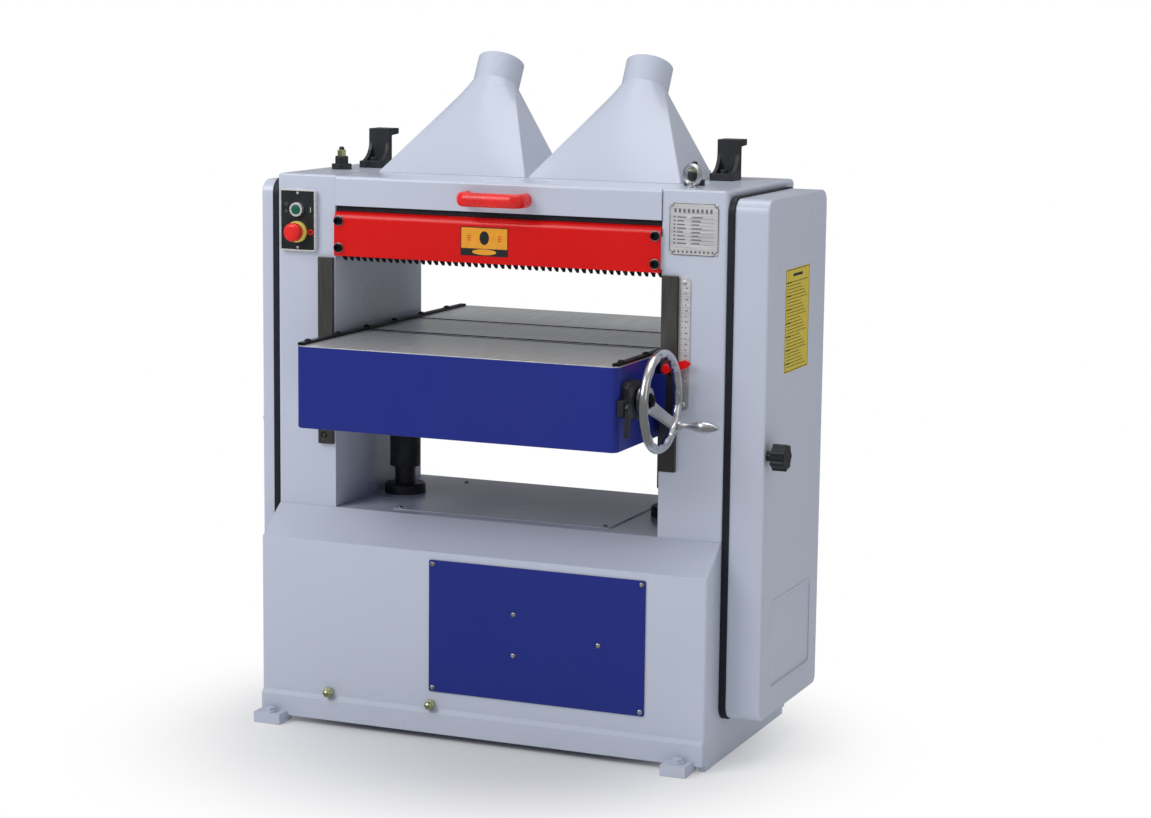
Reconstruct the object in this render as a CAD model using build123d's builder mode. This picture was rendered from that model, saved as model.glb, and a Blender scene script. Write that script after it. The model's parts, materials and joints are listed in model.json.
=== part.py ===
"""Wide thickness planer: base, columns, rising table, feed and cutter head, hinged dust hood.

Millimetres, +Z up. The origin lies on the floor, midway between the columns, under their front faces.
+Y runs with the feed, from the handwheel side to the outfeed side; +X is towards the belt door.
"""

from build123d import *
import os
from math import cos, radians, sin

os.makedirs("parts", exist_ok=True)

# ---------------------------------------------------------------- driving dimensions
THROAT = 650.0  # clear width between the columns
COLUMN_W = 122.0
COLUMN_D = 366.0
COLUMN_TOP = 1032.0
WALL = 12.0  # casting wall
BASE_TOP = 406.0
BASE_HALF = 446.0
BASE_FRONT = -69.0
BASE_BACK = 384.0
SHOULDER_Z = 353.0
PLINTH_Z = 58.0
PLINTH_OUT = 7.0
FLOOR_GAP = 12.0  # front and rear walls stop this far above the floor

TABLE_HALF = 314.0
TABLE_FRONT = -178.0
TABLE_BACK = 540.0
TABLE_TOP = 735.0
TABLE_H = 151.0
TABLE_SKIN = 22.0

INFEED_Y = 88.0
OUTFEED_Y = 295.0
CUTTER_Y = 186.0
FEED_R = 36.0
CUTTER_R = 50.0
CUT_PLANE = 875.0
FEED_DROP = 1.0  # feed rollers hang this far below the cutting circle
BED_R = 25.0
BED_PROUD = 0.3

SCREW_X = 278.0
SCREW_Y = 200.0
SCREW_R = 15.0
LIFT_Z = 670.0  # height of the lifting shafts with the table at rest
WHEEL_Y = -109.0
LONG_X = 200.0  # lengthwise lifting shaft
SHAFT_R = 8.0
CONE_IN = 10.0  # bevel cones run from here ...
CONE_OUT = 22.0  # ... to here, measured from where their axes cross
MESH_GAP = 0.3
RUN_FIT = 0.05  # radial clearance of a shaft in its bearing

WHEEL_X = 368.5
WHEEL_R = 83.5
RIM_R = 8.5
SPOKES = 2  # one either side of the hub; the crank grip stands on the first

SIDE_Z = (80.0, 1018.0)  # side covers
SIDE_Y = (6.0, 340.0)
COVER_CORNER = 25.0
COVER_HEEL = 16.0  # the lower rear corner is tighter
SEAL_T = 12.0
DOOR_OUT = 522.0
COVER_OUT = 484.0
SHEET = 2.5
HINGE_X = 463.0
HINGE_Y = 350.0
HINGE_R = 5.0

HOOD_HALF = 324.0
HOOD_Z = (976.0, 1031.0)
HOOD_BACK = 350.0
HOOD_PIN = (358.0, 1037.0)  # y, z of the hood's hinge
FUNNEL_X = 154.5
FUNNEL_W = 305.0
FUNNEL_Y = (138.0, 320.0)
NECK_R = 45.0
NECK_LONG = 52.0
NECK_BASE = (343.0, 1191.0)  # y, z of the middle of the neck's lower end
NECK_TILT = 29.5

GUARD_Y = -7.0
GUARD_Z = (883.0, 966.0)
GUARD_T = 3.0
GUARD_BEND = 15.0  # radius of the fold along its top
GUARD_HALF = 324.5
FINGER_PIVOT = (12.0, 915.0)
FINGER_PITCH = 13.4
FINGERS = 48

MOTOR_Y = 72.0
MOTOR_Z = 205.0
MOTOR_R = 82.0
MOTOR_PULLEY_R = 55.0
CUTTER_PULLEY_R = 40.0
BELT_X = (464.0, 500.0)
BELTS = 3
CHAIN_X = (-464.0, -456.0)
SPROCKET_R = 28.0
GEARBOX_Y = 186.0
GEARBOX_Z = 760.0

COLUMN_IN = THROAT / 2
COLUMN_OUT = COLUMN_IN + COLUMN_W
CUTTER_Z = CUT_PLANE + CUTTER_R
FEED_Z = CUT_PLANE - FEED_DROP + FEED_R
BED_Z = TABLE_TOP + BED_PROUD - BED_R
TABLE_LOW = TABLE_TOP - TABLE_H
TABLE_CEILING = TABLE_TOP - TABLE_SKIN


# ---------------------------------------------------------------- small helpers
def slab(x, y, z, mode=Mode.ADD):
    """A box between three (low, high) pairs, in the builder that is open."""
    with Locations((sum(x) / 2, sum(y) / 2, sum(z) / 2)):
        Box(x[1] - x[0], y[1] - y[0], z[1] - z[0], mode=mode)


def rod_x(x, y, z, r, mode=Mode.ADD):
    """A round bar along X between x[0] and x[1]."""
    with Locations(Location((sum(x) / 2, y, z), (0, 90, 0))):
        Cylinder(r, x[1] - x[0], mode=mode)


def rod_y(x, y, z, r, mode=Mode.ADD):
    """A round bar along Y between y[0] and y[1]."""
    with Locations(Location((x, sum(y) / 2, z), (90, 0, 0))):
        Cylinder(r, y[1] - y[0], mode=mode)


def rod_z(x, y, z, r, mode=Mode.ADD):
    """A round bar along Z between z[0] and z[1]."""
    with Locations((x, y, sum(z) / 2)):
        Cylinder(r, z[1] - z[0], mode=mode)


def cap_screw(head_r, head_h, shank_r, shank_l):
    """A socket-head screw along Z with the underside of its head at the origin."""
    with BuildPart() as screw:
        with Locations((0, 0, head_h / 2)):
            Cylinder(head_r, head_h)
        fillet(screw.edges().group_by(Axis.Z)[-1], head_r * 0.15)
        with BuildSketch(Plane.XY.offset(head_h)):
            RegularPolygon(head_r * 0.55, 6)
        extrude(amount=-head_h * 0.6, mode=Mode.SUBTRACT)
        with Locations((0, 0, -shank_l / 2)):
            Cylinder(shank_r, shank_l)
    return screw.part


def dome_screw(head_r, head_h):
    """A low domed screw head along Z with its underside at the origin and a cross recess."""
    with BuildPart() as screw:
        with BuildSketch(Plane.XZ):
            with BuildLine():
                Polyline((0, head_h), (0, 0), (head_r, 0), (head_r, head_h * 0.3))
                ThreePointArc((head_r, head_h * 0.3), (head_r * 0.62, head_h * 0.82), (0, head_h))
            make_face()
        revolve(axis=Axis.Z)
        with Locations((0, 0, head_h)):
            Box(head_r * 1.1, head_r * 0.2, head_h * 0.7, mode=Mode.SUBTRACT)
            Box(head_r * 0.2, head_r * 1.1, head_h * 0.7, mode=Mode.SUBTRACT)
    return screw.part


def loop_band(places, radii, thick):
    """A closed band, 1 mm wide along +Z, wrapped round circles at (x, y) places."""
    with BuildPart() as band:
        with BuildSketch():
            for place, r in zip(places, radii, strict=True):
                with Locations(place):
                    Circle(r + thick)
            make_hull()
        extrude(amount=1)
        with BuildSketch():
            for place, r in zip(places, radii, strict=True):
                with Locations(place):
                    Circle(r)
            make_hull()
        extrude(amount=1, mode=Mode.SUBTRACT)
    return band.part


def facing_front(x, y, z):
    """A location whose own +Z points out of the front, along -Y."""
    return Location((x, y, z), (90, 0, 0))


# ---------------------------------------------------------------- base
FOOT_H = 20.0
FOOT_BACK = 428.0
FEET = (((-446.0, -391.0), -105.0), ((380.0, 428.0), -115.0))  # x from and to, and y of the front
FOOT_BOLT_Y = (BASE_FRONT - 22, BASE_BACK + 22)
SHELF_X = (120.0, 412.0)
SHELF_Z = 112.0
WINDOW_Y = (16.0, 334.0)  # openings behind the side covers
PANEL_X = (-95.5, 331.0)
PANEL_Z = (91.0, 339.0)
COVER_X = 220.0
COVER_Y = (27.0, 345.0)

with BuildPart() as base_cabinet:
    with BuildSketch(Plane.YZ.offset(-BASE_HALF)):
        Polygon(
            (BASE_FRONT - PLINTH_OUT, FLOOR_GAP),
            (BASE_FRONT - PLINTH_OUT, PLINTH_Z - PLINTH_OUT),
            (BASE_FRONT, PLINTH_Z),
            (BASE_FRONT, SHOULDER_Z),
            (0, BASE_TOP),
            (BASE_BACK, BASE_TOP),
            (BASE_BACK, PLINTH_Z),
            (BASE_BACK + PLINTH_OUT, PLINTH_Z - PLINTH_OUT),
            (BASE_BACK + PLINTH_OUT, FLOOR_GAP),
            align=None,
        )
    extrude(amount=2 * BASE_HALF)
    ends = base_cabinet.faces().filter_by(Axis.X).edges()
    fillet(ends.filter_by(Axis.Y, reverse=True), 4)
    with BuildSketch(Plane.YZ.offset(-BASE_HALF + WALL)):
        Polygon(
            (BASE_FRONT + WALL, 0),
            (BASE_FRONT + WALL, SHOULDER_Z - WALL / 2),
            (WALL / 2, BASE_TOP - WALL),
            (BASE_BACK - WALL, BASE_TOP - WALL),
            (BASE_BACK - WALL, 0),
            align=None,
        )
    extrude(amount=2 * (BASE_HALF - WALL), mode=Mode.SUBTRACT)
    for side in (-1, 1):
        side_wall = sorted((side * (BASE_HALF - WALL), side * BASE_HALF))
        slab(side_wall, (BASE_FRONT + 8, BASE_BACK - 8), (0, FLOOR_GAP))
        slab(side_wall, WINDOW_Y, (110, 380), mode=Mode.SUBTRACT)
    for bar_y in ((-30, 30), (290, 350)):  # floor bars that tie the side walls together
        slab((-BASE_HALF + WALL, BASE_HALF - WALL), bar_y, (0, FLOOR_GAP))
    for foot_x, foot_front in FEET:
        slab(foot_x, (foot_front, BASE_FRONT + WALL), (0, FOOT_H))
        slab(foot_x, (BASE_BACK - WALL, FOOT_BACK), (0, FOOT_H))
    slab((PANEL_X[0] + 20, PANEL_X[1] - 20), (BASE_FRONT - 1, BASE_FRONT + WALL + 1),
         (PANEL_Z[0] + 20, PANEL_Z[1] - 20), mode=Mode.SUBTRACT)
    slab((-COVER_X + 20, COVER_X - 20), (COVER_Y[0] + 20, COVER_Y[1] - 20),
         (BASE_TOP - WALL - 1, BASE_TOP + 1), mode=Mode.SUBTRACT)
    for side in (-1, 1):
        rod_z(side * SCREW_X, SCREW_Y, (BASE_TOP - WALL - 1, BASE_TOP + 1), SCREW_R + 3, mode=Mode.SUBTRACT)
    for foot_x, _ in FEET:  # levelling bolts, painted over with the base
        for bolt_y in FOOT_BOLT_Y:
            rod_z(sum(foot_x) / 2, bolt_y, (FOOT_H, FOOT_H + 3), 14)
            with BuildSketch(Plane.XY.offset(FOOT_H + 3)):
                with Locations((sum(foot_x) / 2, bolt_y)):
                    RegularPolygon(10, 6)
            extrude(amount=5)
    slab(SHELF_X, (BASE_FRONT + WALL, 150), (SHELF_Z - WALL, SHELF_Z))  # motor shelf
    for leg_x in (SHELF_X[0] + 20, SHELF_X[1] - 20):
        slab((leg_x - 8, leg_x + 8), (-30, 30), (FLOOR_GAP, SHELF_Z - WALL))
base_cabinet.part.label = "base_cabinet"
export_step(base_cabinet.part, "parts/base_cabinet.step")


with BuildPart() as base_top_plate:
    slab((-COVER_X, COVER_X), COVER_Y, (BASE_TOP, BASE_TOP + 2))
    fillet(base_top_plate.edges().filter_by(Axis.Z), 6)
base_top_plate.part.label = "base_top_plate"
export_step(base_top_plate.part, "parts/base_top_plate.step")


PANEL_MID = (sum(PANEL_X) / 2, sum(PANEL_Z) / 2)
GUARD_SCREW_X = (-314.5, 314.5)
GUARD_SCREW_Z = (898.5, 948.5)
WASHER_T = 1.5
with BuildPart() as access_panel:
    slab(PANEL_X, (BASE_FRONT - 2.5, BASE_FRONT), PANEL_Z)
    fillet(access_panel.edges().filter_by(Axis.Y), 3)
access_panel.part.label = "access_panel"
export_step(access_panel.part, "parts/access_panel.step")

with BuildPart() as cover_screws:
    with Locations((0, sum(COVER_Y) / 2, BASE_TOP + 2)):
        with GridLocations(2 * COVER_X - 24, COVER_Y[1] - COVER_Y[0] - 24, 2, 2):
            add(dome_screw(5, 3))
    with Locations(facing_front(PANEL_MID[0], BASE_FRONT - 2.5, PANEL_MID[1])):
        with GridLocations(PANEL_X[1] - PANEL_X[0] - 15, PANEL_Z[1] - PANEL_Z[0] - 15, 2, 2):
            add(dome_screw(5, 3.5))
    for inner in ((74.5, 252.0), (74.5, 175.6), (241.5, 212.0)):
        with Locations(facing_front(inner[0], BASE_FRONT - 2.5, inner[1])):
            add(dome_screw(5, 3.5))
    for screw_x in GUARD_SCREW_X:  # bright washers under the guard's screws
        for screw_z in GUARD_SCREW_Z:
            rod_y(screw_x, (GUARD_Y - WASHER_T, GUARD_Y), screw_z, 9.5)
            rod_y(screw_x, (GUARD_Y - WASHER_T, GUARD_Y), screw_z, 3 + RUN_FIT, mode=Mode.SUBTRACT)
cover_screws.part.label = "cover_screws"
export_step(cover_screws.part, "parts/cover_screws.step")

DOME_Z = PLINTH_Z + 8
ADJUSTERS = ((-395.0, 160.0), (344.0, 108.0))
ADJUSTER_H = 25.0  # height of a pressure screw's cap
ADJUSTER_R = 5.0
with BuildPart() as dome_nuts:  # studs for the belt tension and the motor, each with a domed nut
    for nut_x in (-302.0, -91.0):
        rod_y(nut_x, (BASE_FRONT - 3, BASE_FRONT), DOME_Z, 8)
        with BuildSketch(Plane.XZ.offset(-BASE_FRONT + 3)):
            with Locations((nut_x, DOME_Z)):
                RegularPolygon(9.5, 6)
        extrude(amount=10)
        with Locations((nut_x, BASE_FRONT - 13, DOME_Z)):
            Sphere(8)
    for x, y in ADJUSTERS:  # lock nuts of the feed roller pressure screws
        with BuildSketch(Plane.XY.offset(COLUMN_TOP + ADJUSTER_H)):
            with Locations((x, y)):
                RegularPolygon(9, 6)
                Circle(ADJUSTER_R + RUN_FIT, mode=Mode.SUBTRACT)
        extrude(amount=12)
dome_nuts.part.label = "dome_nuts"
export_step(dome_nuts.part, "parts/dome_nuts.step")


# ---------------------------------------------------------------- columns
def column(side):
    """A hollow cast column; side is -1 for the chain side and 1 for the belt side."""
    inner, outer = side * COLUMN_IN, side * COLUMN_OUT
    with BuildPart() as post:
        slab(sorted((inner, outer)), (0, COLUMN_D), (BASE_TOP, COLUMN_TOP))
        top_edges = post.edges().group_by(Axis.Z)[-1]
        fillet(top_edges.filter_by(Axis.X).sort_by(Axis.Y)[0], 4)
        fillet(post.edges().group_by(Axis.Z)[-1].filter_by(Axis.Y).sort_by(Axis.X)[-1 if side > 0 else 0], 8)
        hollow = sorted((inner + side * WALL, outer - side * WALL))
        slab(hollow, (WALL, COLUMN_D - WALL), (BASE_TOP + WALL, COLUMN_TOP - WALL), mode=Mode.SUBTRACT)
        window = sorted((outer - side * (WALL + 1), outer + side))
        slab(window, WINDOW_Y, (BASE_TOP + 24, 1000), mode=Mode.SUBTRACT)
        through = sorted((inner - side, inner + side * (WALL + 1)))
        rod_x(through, CUTTER_Y, CUTTER_Z, 34, mode=Mode.SUBTRACT)
        for roller_y in (INFEED_Y, OUTFEED_Y):
            rod_x(through, roller_y, FEED_Z, 17, mode=Mode.SUBTRACT)
        slab(sorted((inner - side * 22, inner)), (GUARD_Y + 3, 2), (GUARD_Z[0] + 6, GUARD_Z[1] - 18))
    return post.part


with BuildPart() as column_left:
    add(column(-1))
column_left.part.label = "column_left"
export_step(column_left.part, "parts/column_left.step")

with BuildPart() as column_right:
    add(column(1))
column_right.part.label = "column_right"
export_step(column_right.part, "parts/column_right.step")

with BuildPart() as rear_tie:  # ties the column tops together and carries the hood's hinge
    slab((-COLUMN_IN, COLUMN_IN), (COLUMN_D - WALL, COLUMN_D), (900, 1020))
    for knuckle_x in (-240.0, 240.0):
        slab((knuckle_x - 22, knuckle_x + 22), (HOOD_PIN[0] - 3, COLUMN_D), (1020, HOOD_PIN[1]))
        rod_x((knuckle_x - 22, knuckle_x + 22), *HOOD_PIN, 6)
        rod_x((knuckle_x - 23, knuckle_x + 23), *HOOD_PIN, 3 + RUN_FIT, mode=Mode.SUBTRACT)
rear_tie.part.label = "rear_tie"
export_step(rear_tie.part, "parts/rear_tie.step")

STRIP_X = (328.0, 358.0)
STRIP_Y = -8.0
STRIP_Z = (527.0, 879.0)


def guide_strip(side):
    """A ground steel way on a column's front face; the chain side shows its lower fixing bolt."""
    with BuildPart() as strip:
        slab(sorted((side * STRIP_X[0], side * STRIP_X[1])), (STRIP_Y, 0), STRIP_Z)
        if side < 0:
            with Locations(Location((side * 346, STRIP_Y, STRIP_Z[0] + 16), (90, 0, 0))):
                CounterSinkHole(4, 7, depth=-STRIP_Y)
            rod_y(side * 346, (STRIP_Y, 0), STRIP_Z[0] + 16, 3.9)
    return strip.part


with BuildPart() as guide_strips:
    add(guide_strip(-1))
    add(guide_strip(1))
guide_strips.part.label = "guide_strips"
export_step(guide_strips.part, "parts/guide_strips.step")

with BuildPart() as scale_plate:
    slab((359, 381), (-2, 0), (640, 878))
    fillet(scale_plate.edges().filter_by(Axis.Y), 10)
    for screw_z in (650.0, 868.0):
        with Locations(facing_front(370, -2, screw_z)):
            add(dome_screw(4, 2.2))
scale_plate.part.label = "scale_plate"
export_step(scale_plate.part, "parts/scale_plate.step")

PLATE_X = (338.5, 431.0)
PLATE_Z = (916.0, 1009.0)
with BuildPart() as name_plate:
    slab(PLATE_X, (-1.5, 0), PLATE_Z)
    plate_corners = [(x, z) for x in PLATE_X for z in PLATE_Z]
    for x, z in plate_corners:
        rod_y(x, (-2, 0.5), z, 8, mode=Mode.SUBTRACT)
    with Locations(facing_front(sum(PLATE_X) / 2, 0, sum(PLATE_Z) / 2)):
        with GridLocations(PLATE_X[1] - PLATE_X[0] - 7, PLATE_Z[1] - PLATE_Z[0] - 7, 2, 2):
            add(dome_screw(2.8, 2.4))
name_plate.part.label = "name_plate"
export_step(name_plate.part, "parts/name_plate.step")


# ---------------------------------------------------------------- controls
BOX_X = (-434.0, -365.0)
BOX_Z = (891.0, 1000.5)
BOX_Y = -8.0
START_AT = (-400.0, 966.0)
STOP_AT = (-400.0, 924.5)

with BuildPart() as control_box:
    slab(BOX_X, (BOX_Y, 0), BOX_Z)
    fillet(control_box.edges().filter_by(Axis.Y), 5)
    for place, hole_r in ((START_AT, 7.5), (STOP_AT, 8.5)):
        rod_y(place[0], (BOX_Y - 1, -1), place[1], hole_r + RUN_FIT, mode=Mode.SUBTRACT)
control_box.part.label = "control_box"
export_step(control_box.part, "parts/control_box.step")

with BuildPart() as control_frame:  # bright edge strip round the plate, and the start button's ring
    slab((BOX_X[0] - 3, BOX_X[1] + 3), (BOX_Y - 1.5, 0), (BOX_Z[0] - 3, BOX_Z[1] + 3))
    fillet(control_frame.edges().filter_by(Axis.Y), 7)
    slab(BOX_X, (BOX_Y - 2, 1), BOX_Z, mode=Mode.SUBTRACT)
    rod_y(START_AT[0], (BOX_Y - 8, BOX_Y), START_AT[1], 13)
    rod_y(START_AT[0], (BOX_Y - 9, BOX_Y + 1), START_AT[1], 9.4, mode=Mode.SUBTRACT)
    for screw_z in (BOX_Z[0] + 4, BOX_Z[1] - 4):
        with Locations(facing_front(START_AT[0], BOX_Y, screw_z)):
            add(dome_screw(2.8, 2))
control_frame.part.label = "control_frame"
export_step(control_frame.part, "parts/control_frame.step")


with BuildPart() as start_button:
    rod_y(START_AT[0], (BOX_Y - 9.5, BOX_Y - 4), START_AT[1], 8.7)
    fillet(start_button.edges().group_by(Axis.Y)[0], 1.5)
    rod_y(START_AT[0], (BOX_Y - 4, BOX_Y + 3.5), START_AT[1], 7.5)
start_button.part.label = "start_button"
export_step(start_button.part, "parts/start_button.step")

with BuildPart() as estop_collar:
    rod_y(STOP_AT[0], (BOX_Y - 9, BOX_Y), STOP_AT[1], 20)
    chamfer(estop_collar.edges().group_by(Axis.Y)[0], 3)
    rod_y(STOP_AT[0], (BOX_Y - 10, BOX_Y + 1), STOP_AT[1], 9.5, mode=Mode.SUBTRACT)
estop_collar.part.label = "estop_collar"
export_step(estop_collar.part, "parts/estop_collar.step")

with BuildPart() as estop_button:
    rod_y(STOP_AT[0], (BOX_Y - 14, BOX_Y + 2.5), STOP_AT[1], 8.5)
    rod_y(STOP_AT[0], (BOX_Y - 28, BOX_Y - 14), STOP_AT[1], 17.5)
    fillet(estop_button.edges().group_by(Axis.Y)[0], 7)
    chamfer(estop_button.edges().filter_by(GeomType.CIRCLE).sort_by(SortBy.RADIUS)[-1], 1)
estop_button.part.label = "estop_button"
export_step(estop_button.part, "parts/estop_button.step")


# ---------------------------------------------------------------- side covers
def cover_outline(x, inset):
    """A side cover's outline, x from the middle plane and drawn in all round by inset."""
    low_y, high_y = SIDE_Y[0] + inset, SIDE_Y[1] - inset
    low_z, high_z = SIDE_Z[0] + inset, SIDE_Z[1] - inset
    with BuildSketch(Plane.YZ.offset(x)) as outline:
        with Locations(((low_y + high_y) / 2, (low_z + high_z) / 2)):
            Rectangle(high_y - low_y, high_z - low_z)
        front = outline.vertices().group_by(Axis.X)[0]
        rear = outline.vertices().group_by(Axis.X)[-1].sort_by(Axis.Y)
        fillet([*front, rear[-1]], COVER_CORNER - inset)
        heel = outline.vertices().group_by(Axis.X)[-1].sort_by(Axis.Y)[0]
        fillet(heel, COVER_HEEL - inset)
    return outline.sketch


def side_seal(side):
    """The black rubber rim that a side cover closes on."""
    with BuildPart() as rim:
        extrude(cover_outline(side * COLUMN_OUT, -3), amount=side * (SEAL_T - 0.4))
        extrude(cover_outline(side * COLUMN_OUT, 9), amount=side * SEAL_T, mode=Mode.SUBTRACT)
    return rim.part


def side_cover(side, outer_x, knob_y):
    """A pressed sheet cover, hinged along its rear edge, open towards the machine."""
    near, far = side * (COLUMN_OUT + SEAL_T), side * outer_x
    depth = outer_x - COLUMN_OUT - SEAL_T
    with BuildPart() as cover:
        extrude(cover_outline(near, 0), amount=side * depth)
        fillet(cover.faces().sort_by(Axis.X)[-1 if side > 0 else 0].edges(), 4)
        extrude(cover_outline(near, SHEET), amount=side * (depth - SHEET), mode=Mode.SUBTRACT)
        rod_x(sorted((far - side * 6, far + side)), knob_y, KNOB_Z, 5 + RUN_FIT, mode=Mode.SUBTRACT)
        for knuckle_z in HINGE_Z:
            slab(sorted((side * (HINGE_X - 2), side * (HINGE_X + 12))), (SIDE_Y[1] - 1, SIDE_Y[1] + 2),
                 (knuckle_z, knuckle_z + 30))
            slab(sorted((side * (HINGE_X - 1.5), side * (HINGE_X + 1.5))), (SIDE_Y[1], HINGE_Y),
                 (knuckle_z, knuckle_z + 30))
            rod_z(side * HINGE_X, HINGE_Y, (knuckle_z, knuckle_z + 30), HINGE_R)
            rod_z(side * HINGE_X, HINGE_Y, (knuckle_z - 1, knuckle_z + 31), 2.5 + RUN_FIT,
                  mode=Mode.SUBTRACT)
    return cover.part


def side_hinges(side):
    """Fixed knuckles and pins that carry a side cover."""
    with BuildPart() as hinges:
        for knuckle_z in HINGE_Z:
            leaf_z = (knuckle_z - 31, knuckle_z - 0.5)
            slab(sorted((side * COLUMN_OUT, side * (HINGE_X + 1.5))), (HINGE_Y - 1.5, HINGE_Y + 1.5), leaf_z)
            slab(sorted((side * COLUMN_OUT, side * (COLUMN_OUT + 3))), (HINGE_Y - 4, COLUMN_D), leaf_z)
            rod_z(side * HINGE_X, HINGE_Y, leaf_z, HINGE_R)
            rod_z(side * HINGE_X, HINGE_Y, (knuckle_z - 31, knuckle_z + 32), 2.5)
    return hinges.part


def star_knob(side, face_x, knob_y):
    """A lobed clamp knob on a spindle, with the catch that it turns behind the cover."""
    lobes = 7
    with BuildPart() as knob:
        with BuildSketch(Plane.YZ.offset(face_x + side * 12)):
            with Locations((knob_y, KNOB_Z)):
                Circle(21.5)
                with PolarLocations(19.7, lobes):
                    Circle(5)
        extrude(amount=side * 26)
        fillet(knob.faces().sort_by(Axis.X)[-1 if side > 0 else 0].edges(), 1.5)
        rod_x(sorted((face_x, face_x + side * 12)), knob_y, KNOB_Z, 9)
        rod_x(sorted((face_x - side * 10, face_x)), knob_y, KNOB_Z, 5)
        slab(sorted((face_x - side * 10, face_x - side * 7)), (knob_y - 6, knob_y + 24),
             (KNOB_Z - 6, KNOB_Z + 6))
    return knob.part


def flush_latch(side, face_x, latch_y):
    """A slotted disc almost flush with a cover, on a spindle with its catch."""
    with BuildPart() as latch:
        rod_x(sorted((face_x, face_x + side * 1.5)), latch_y, KNOB_Z, 12)
        rod_x(sorted((face_x - side * 10, face_x)), latch_y, KNOB_Z, 5)
        slab(sorted((face_x + side * 0.5, face_x + side * 2)), (latch_y - 9, latch_y + 9),
             (KNOB_Z - 1.5, KNOB_Z + 1.5), mode=Mode.SUBTRACT)
        slab(sorted((face_x - side * 10, face_x - side * 7)), (latch_y - 6, latch_y + 24),
             (KNOB_Z - 6, KNOB_Z + 6))
    return latch.part


KNOB_Y = 22.0
KNOB_Z = 565.0
PRESS_Y = (62.0, 292.0)  # shallow pressing low on the belt door
PRESS_Z = (132.0, 290.0)
PRESS_DEEP = 2.2
HINGE_Z = (180.0, 560.0, 900.0)


with BuildPart() as rubber_seals:  # rims behind the side covers, strip under the hood's front edge
    add(side_seal(1))
    add(side_seal(-1))
    slab((-GUARD_HALF, GUARD_HALF), (GUARD_Y + 12, GUARD_Y + 22), (GUARD_Z[1], HOOD_Z[0] - 0.4))
rubber_seals.part.label = "rubber_seals"
export_step(rubber_seals.part, "parts/rubber_seals.step")

with BuildPart() as belt_door:
    add(side_cover(1, DOOR_OUT, KNOB_Y))
    slab((DOOR_OUT - 2 * SHEET, DOOR_OUT - SHEET), PRESS_Y, PRESS_Z)
    with BuildSketch(Plane.YZ.offset(DOOR_OUT)):
        with Locations((sum(PRESS_Y) / 2, sum(PRESS_Z) / 2)):
            RectangleRounded(PRESS_Y[1] - PRESS_Y[0], PRESS_Z[1] - PRESS_Z[0], 12)
    extrude(amount=-PRESS_DEEP, taper=60, mode=Mode.SUBTRACT)
belt_door.part.label = "belt_door"
export_step(belt_door.part, "parts/belt_door.step")

with BuildPart() as chain_cover:
    add(side_cover(-1, COVER_OUT, KNOB_Y))
chain_cover.part.label = "chain_cover"
export_step(chain_cover.part, "parts/chain_cover.step")

with BuildPart() as door_hinges:
    add(side_hinges(1))
    add(side_hinges(-1))
door_hinges.part.label = "door_hinges"
export_step(door_hinges.part, "parts/door_hinges.step")

with BuildPart() as door_knob:
    add(star_knob(1, DOOR_OUT, KNOB_Y))
door_knob.part.label = "door_knob"
export_step(door_knob.part, "parts/door_knob.step")

with BuildPart() as cover_latch:
    add(flush_latch(-1, -COVER_OUT, KNOB_Y))
cover_latch.part.label = "cover_latch"
export_step(cover_latch.part, "parts/cover_latch.step")

# ---------------------------------------------------------------- guard and kickback fingers
with BuildPart() as guard:
    bend_at = (GUARD_Y + GUARD_BEND, GUARD_Z[1] - GUARD_BEND)
    with BuildSketch(Plane.YZ.offset(-GUARD_HALF)):
        with BuildLine():
            Line((GUARD_Y, GUARD_Z[0]), (GUARD_Y, bend_at[1]))
            CenterArc(bend_at, GUARD_BEND, 90, 90)
            Polyline((bend_at[0], GUARD_Z[1]), (GUARD_Y + 22, GUARD_Z[1]),
                     (GUARD_Y + 22, GUARD_Z[1] - GUARD_T), (bend_at[0], GUARD_Z[1] - GUARD_T))
            CenterArc(bend_at, GUARD_BEND - GUARD_T, 90, 90)
            Polyline((GUARD_Y + GUARD_T, bend_at[1]), (GUARD_Y + GUARD_T, GUARD_Z[0]),
                     (GUARD_Y, GUARD_Z[0]))
        make_face()
    extrude(amount=2 * GUARD_HALF)
    slab((-95, 95), (GUARD_Y - 1, GUARD_Y + 9), (GUARD_Z[1] - 2.2, GUARD_Z[1] + 1), mode=Mode.SUBTRACT)
guard.part.label = "guard"
export_step(guard.part, "parts/guard.step")

with BuildPart() as guard_screws:
    for screw_x in GUARD_SCREW_X:
        for screw_z in GUARD_SCREW_Z:
            with Locations(facing_front(screw_x, GUARD_Y - WASHER_T, screw_z)):
                add(cap_screw(7.5, 6.5, 3, WASHER_T))
guard_screws.part.label = "guard_screws"
export_step(guard_screws.part, "parts/guard_screws.step")


FINGER_TIP = (24.0, 872.0)
FINGER_T = 5.0
finger_half = FINGERS * FINGER_PITCH / 2
with BuildPart() as kickback_fingers:
    rod_x((-finger_half, finger_half), *FINGER_PIVOT, 9)
    for i in range(FINGERS):
        plate_x = -finger_half + (i + 0.5) * FINGER_PITCH
        with BuildSketch(Plane.YZ.offset(plate_x - FINGER_T / 2)):
            Polygon(
                (FINGER_PIVOT[0] - 8.5, FINGER_PIVOT[1]),
                (FINGER_PIVOT[0] + 8.5, FINGER_PIVOT[1]),
                (FINGER_TIP[0] + 3, FINGER_TIP[1] + 18),
                FINGER_TIP,
                (FINGER_PIVOT[0] - 8, FINGER_TIP[1] + 14),
                align=None,
            )
        extrude(amount=FINGER_T)
    rod_x((-finger_half - 1, finger_half + 1), *FINGER_PIVOT, 6 + RUN_FIT, mode=Mode.SUBTRACT)
kickback_fingers.part.label = "kickback_fingers"
export_step(kickback_fingers.part, "parts/kickback_fingers.step")


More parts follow.
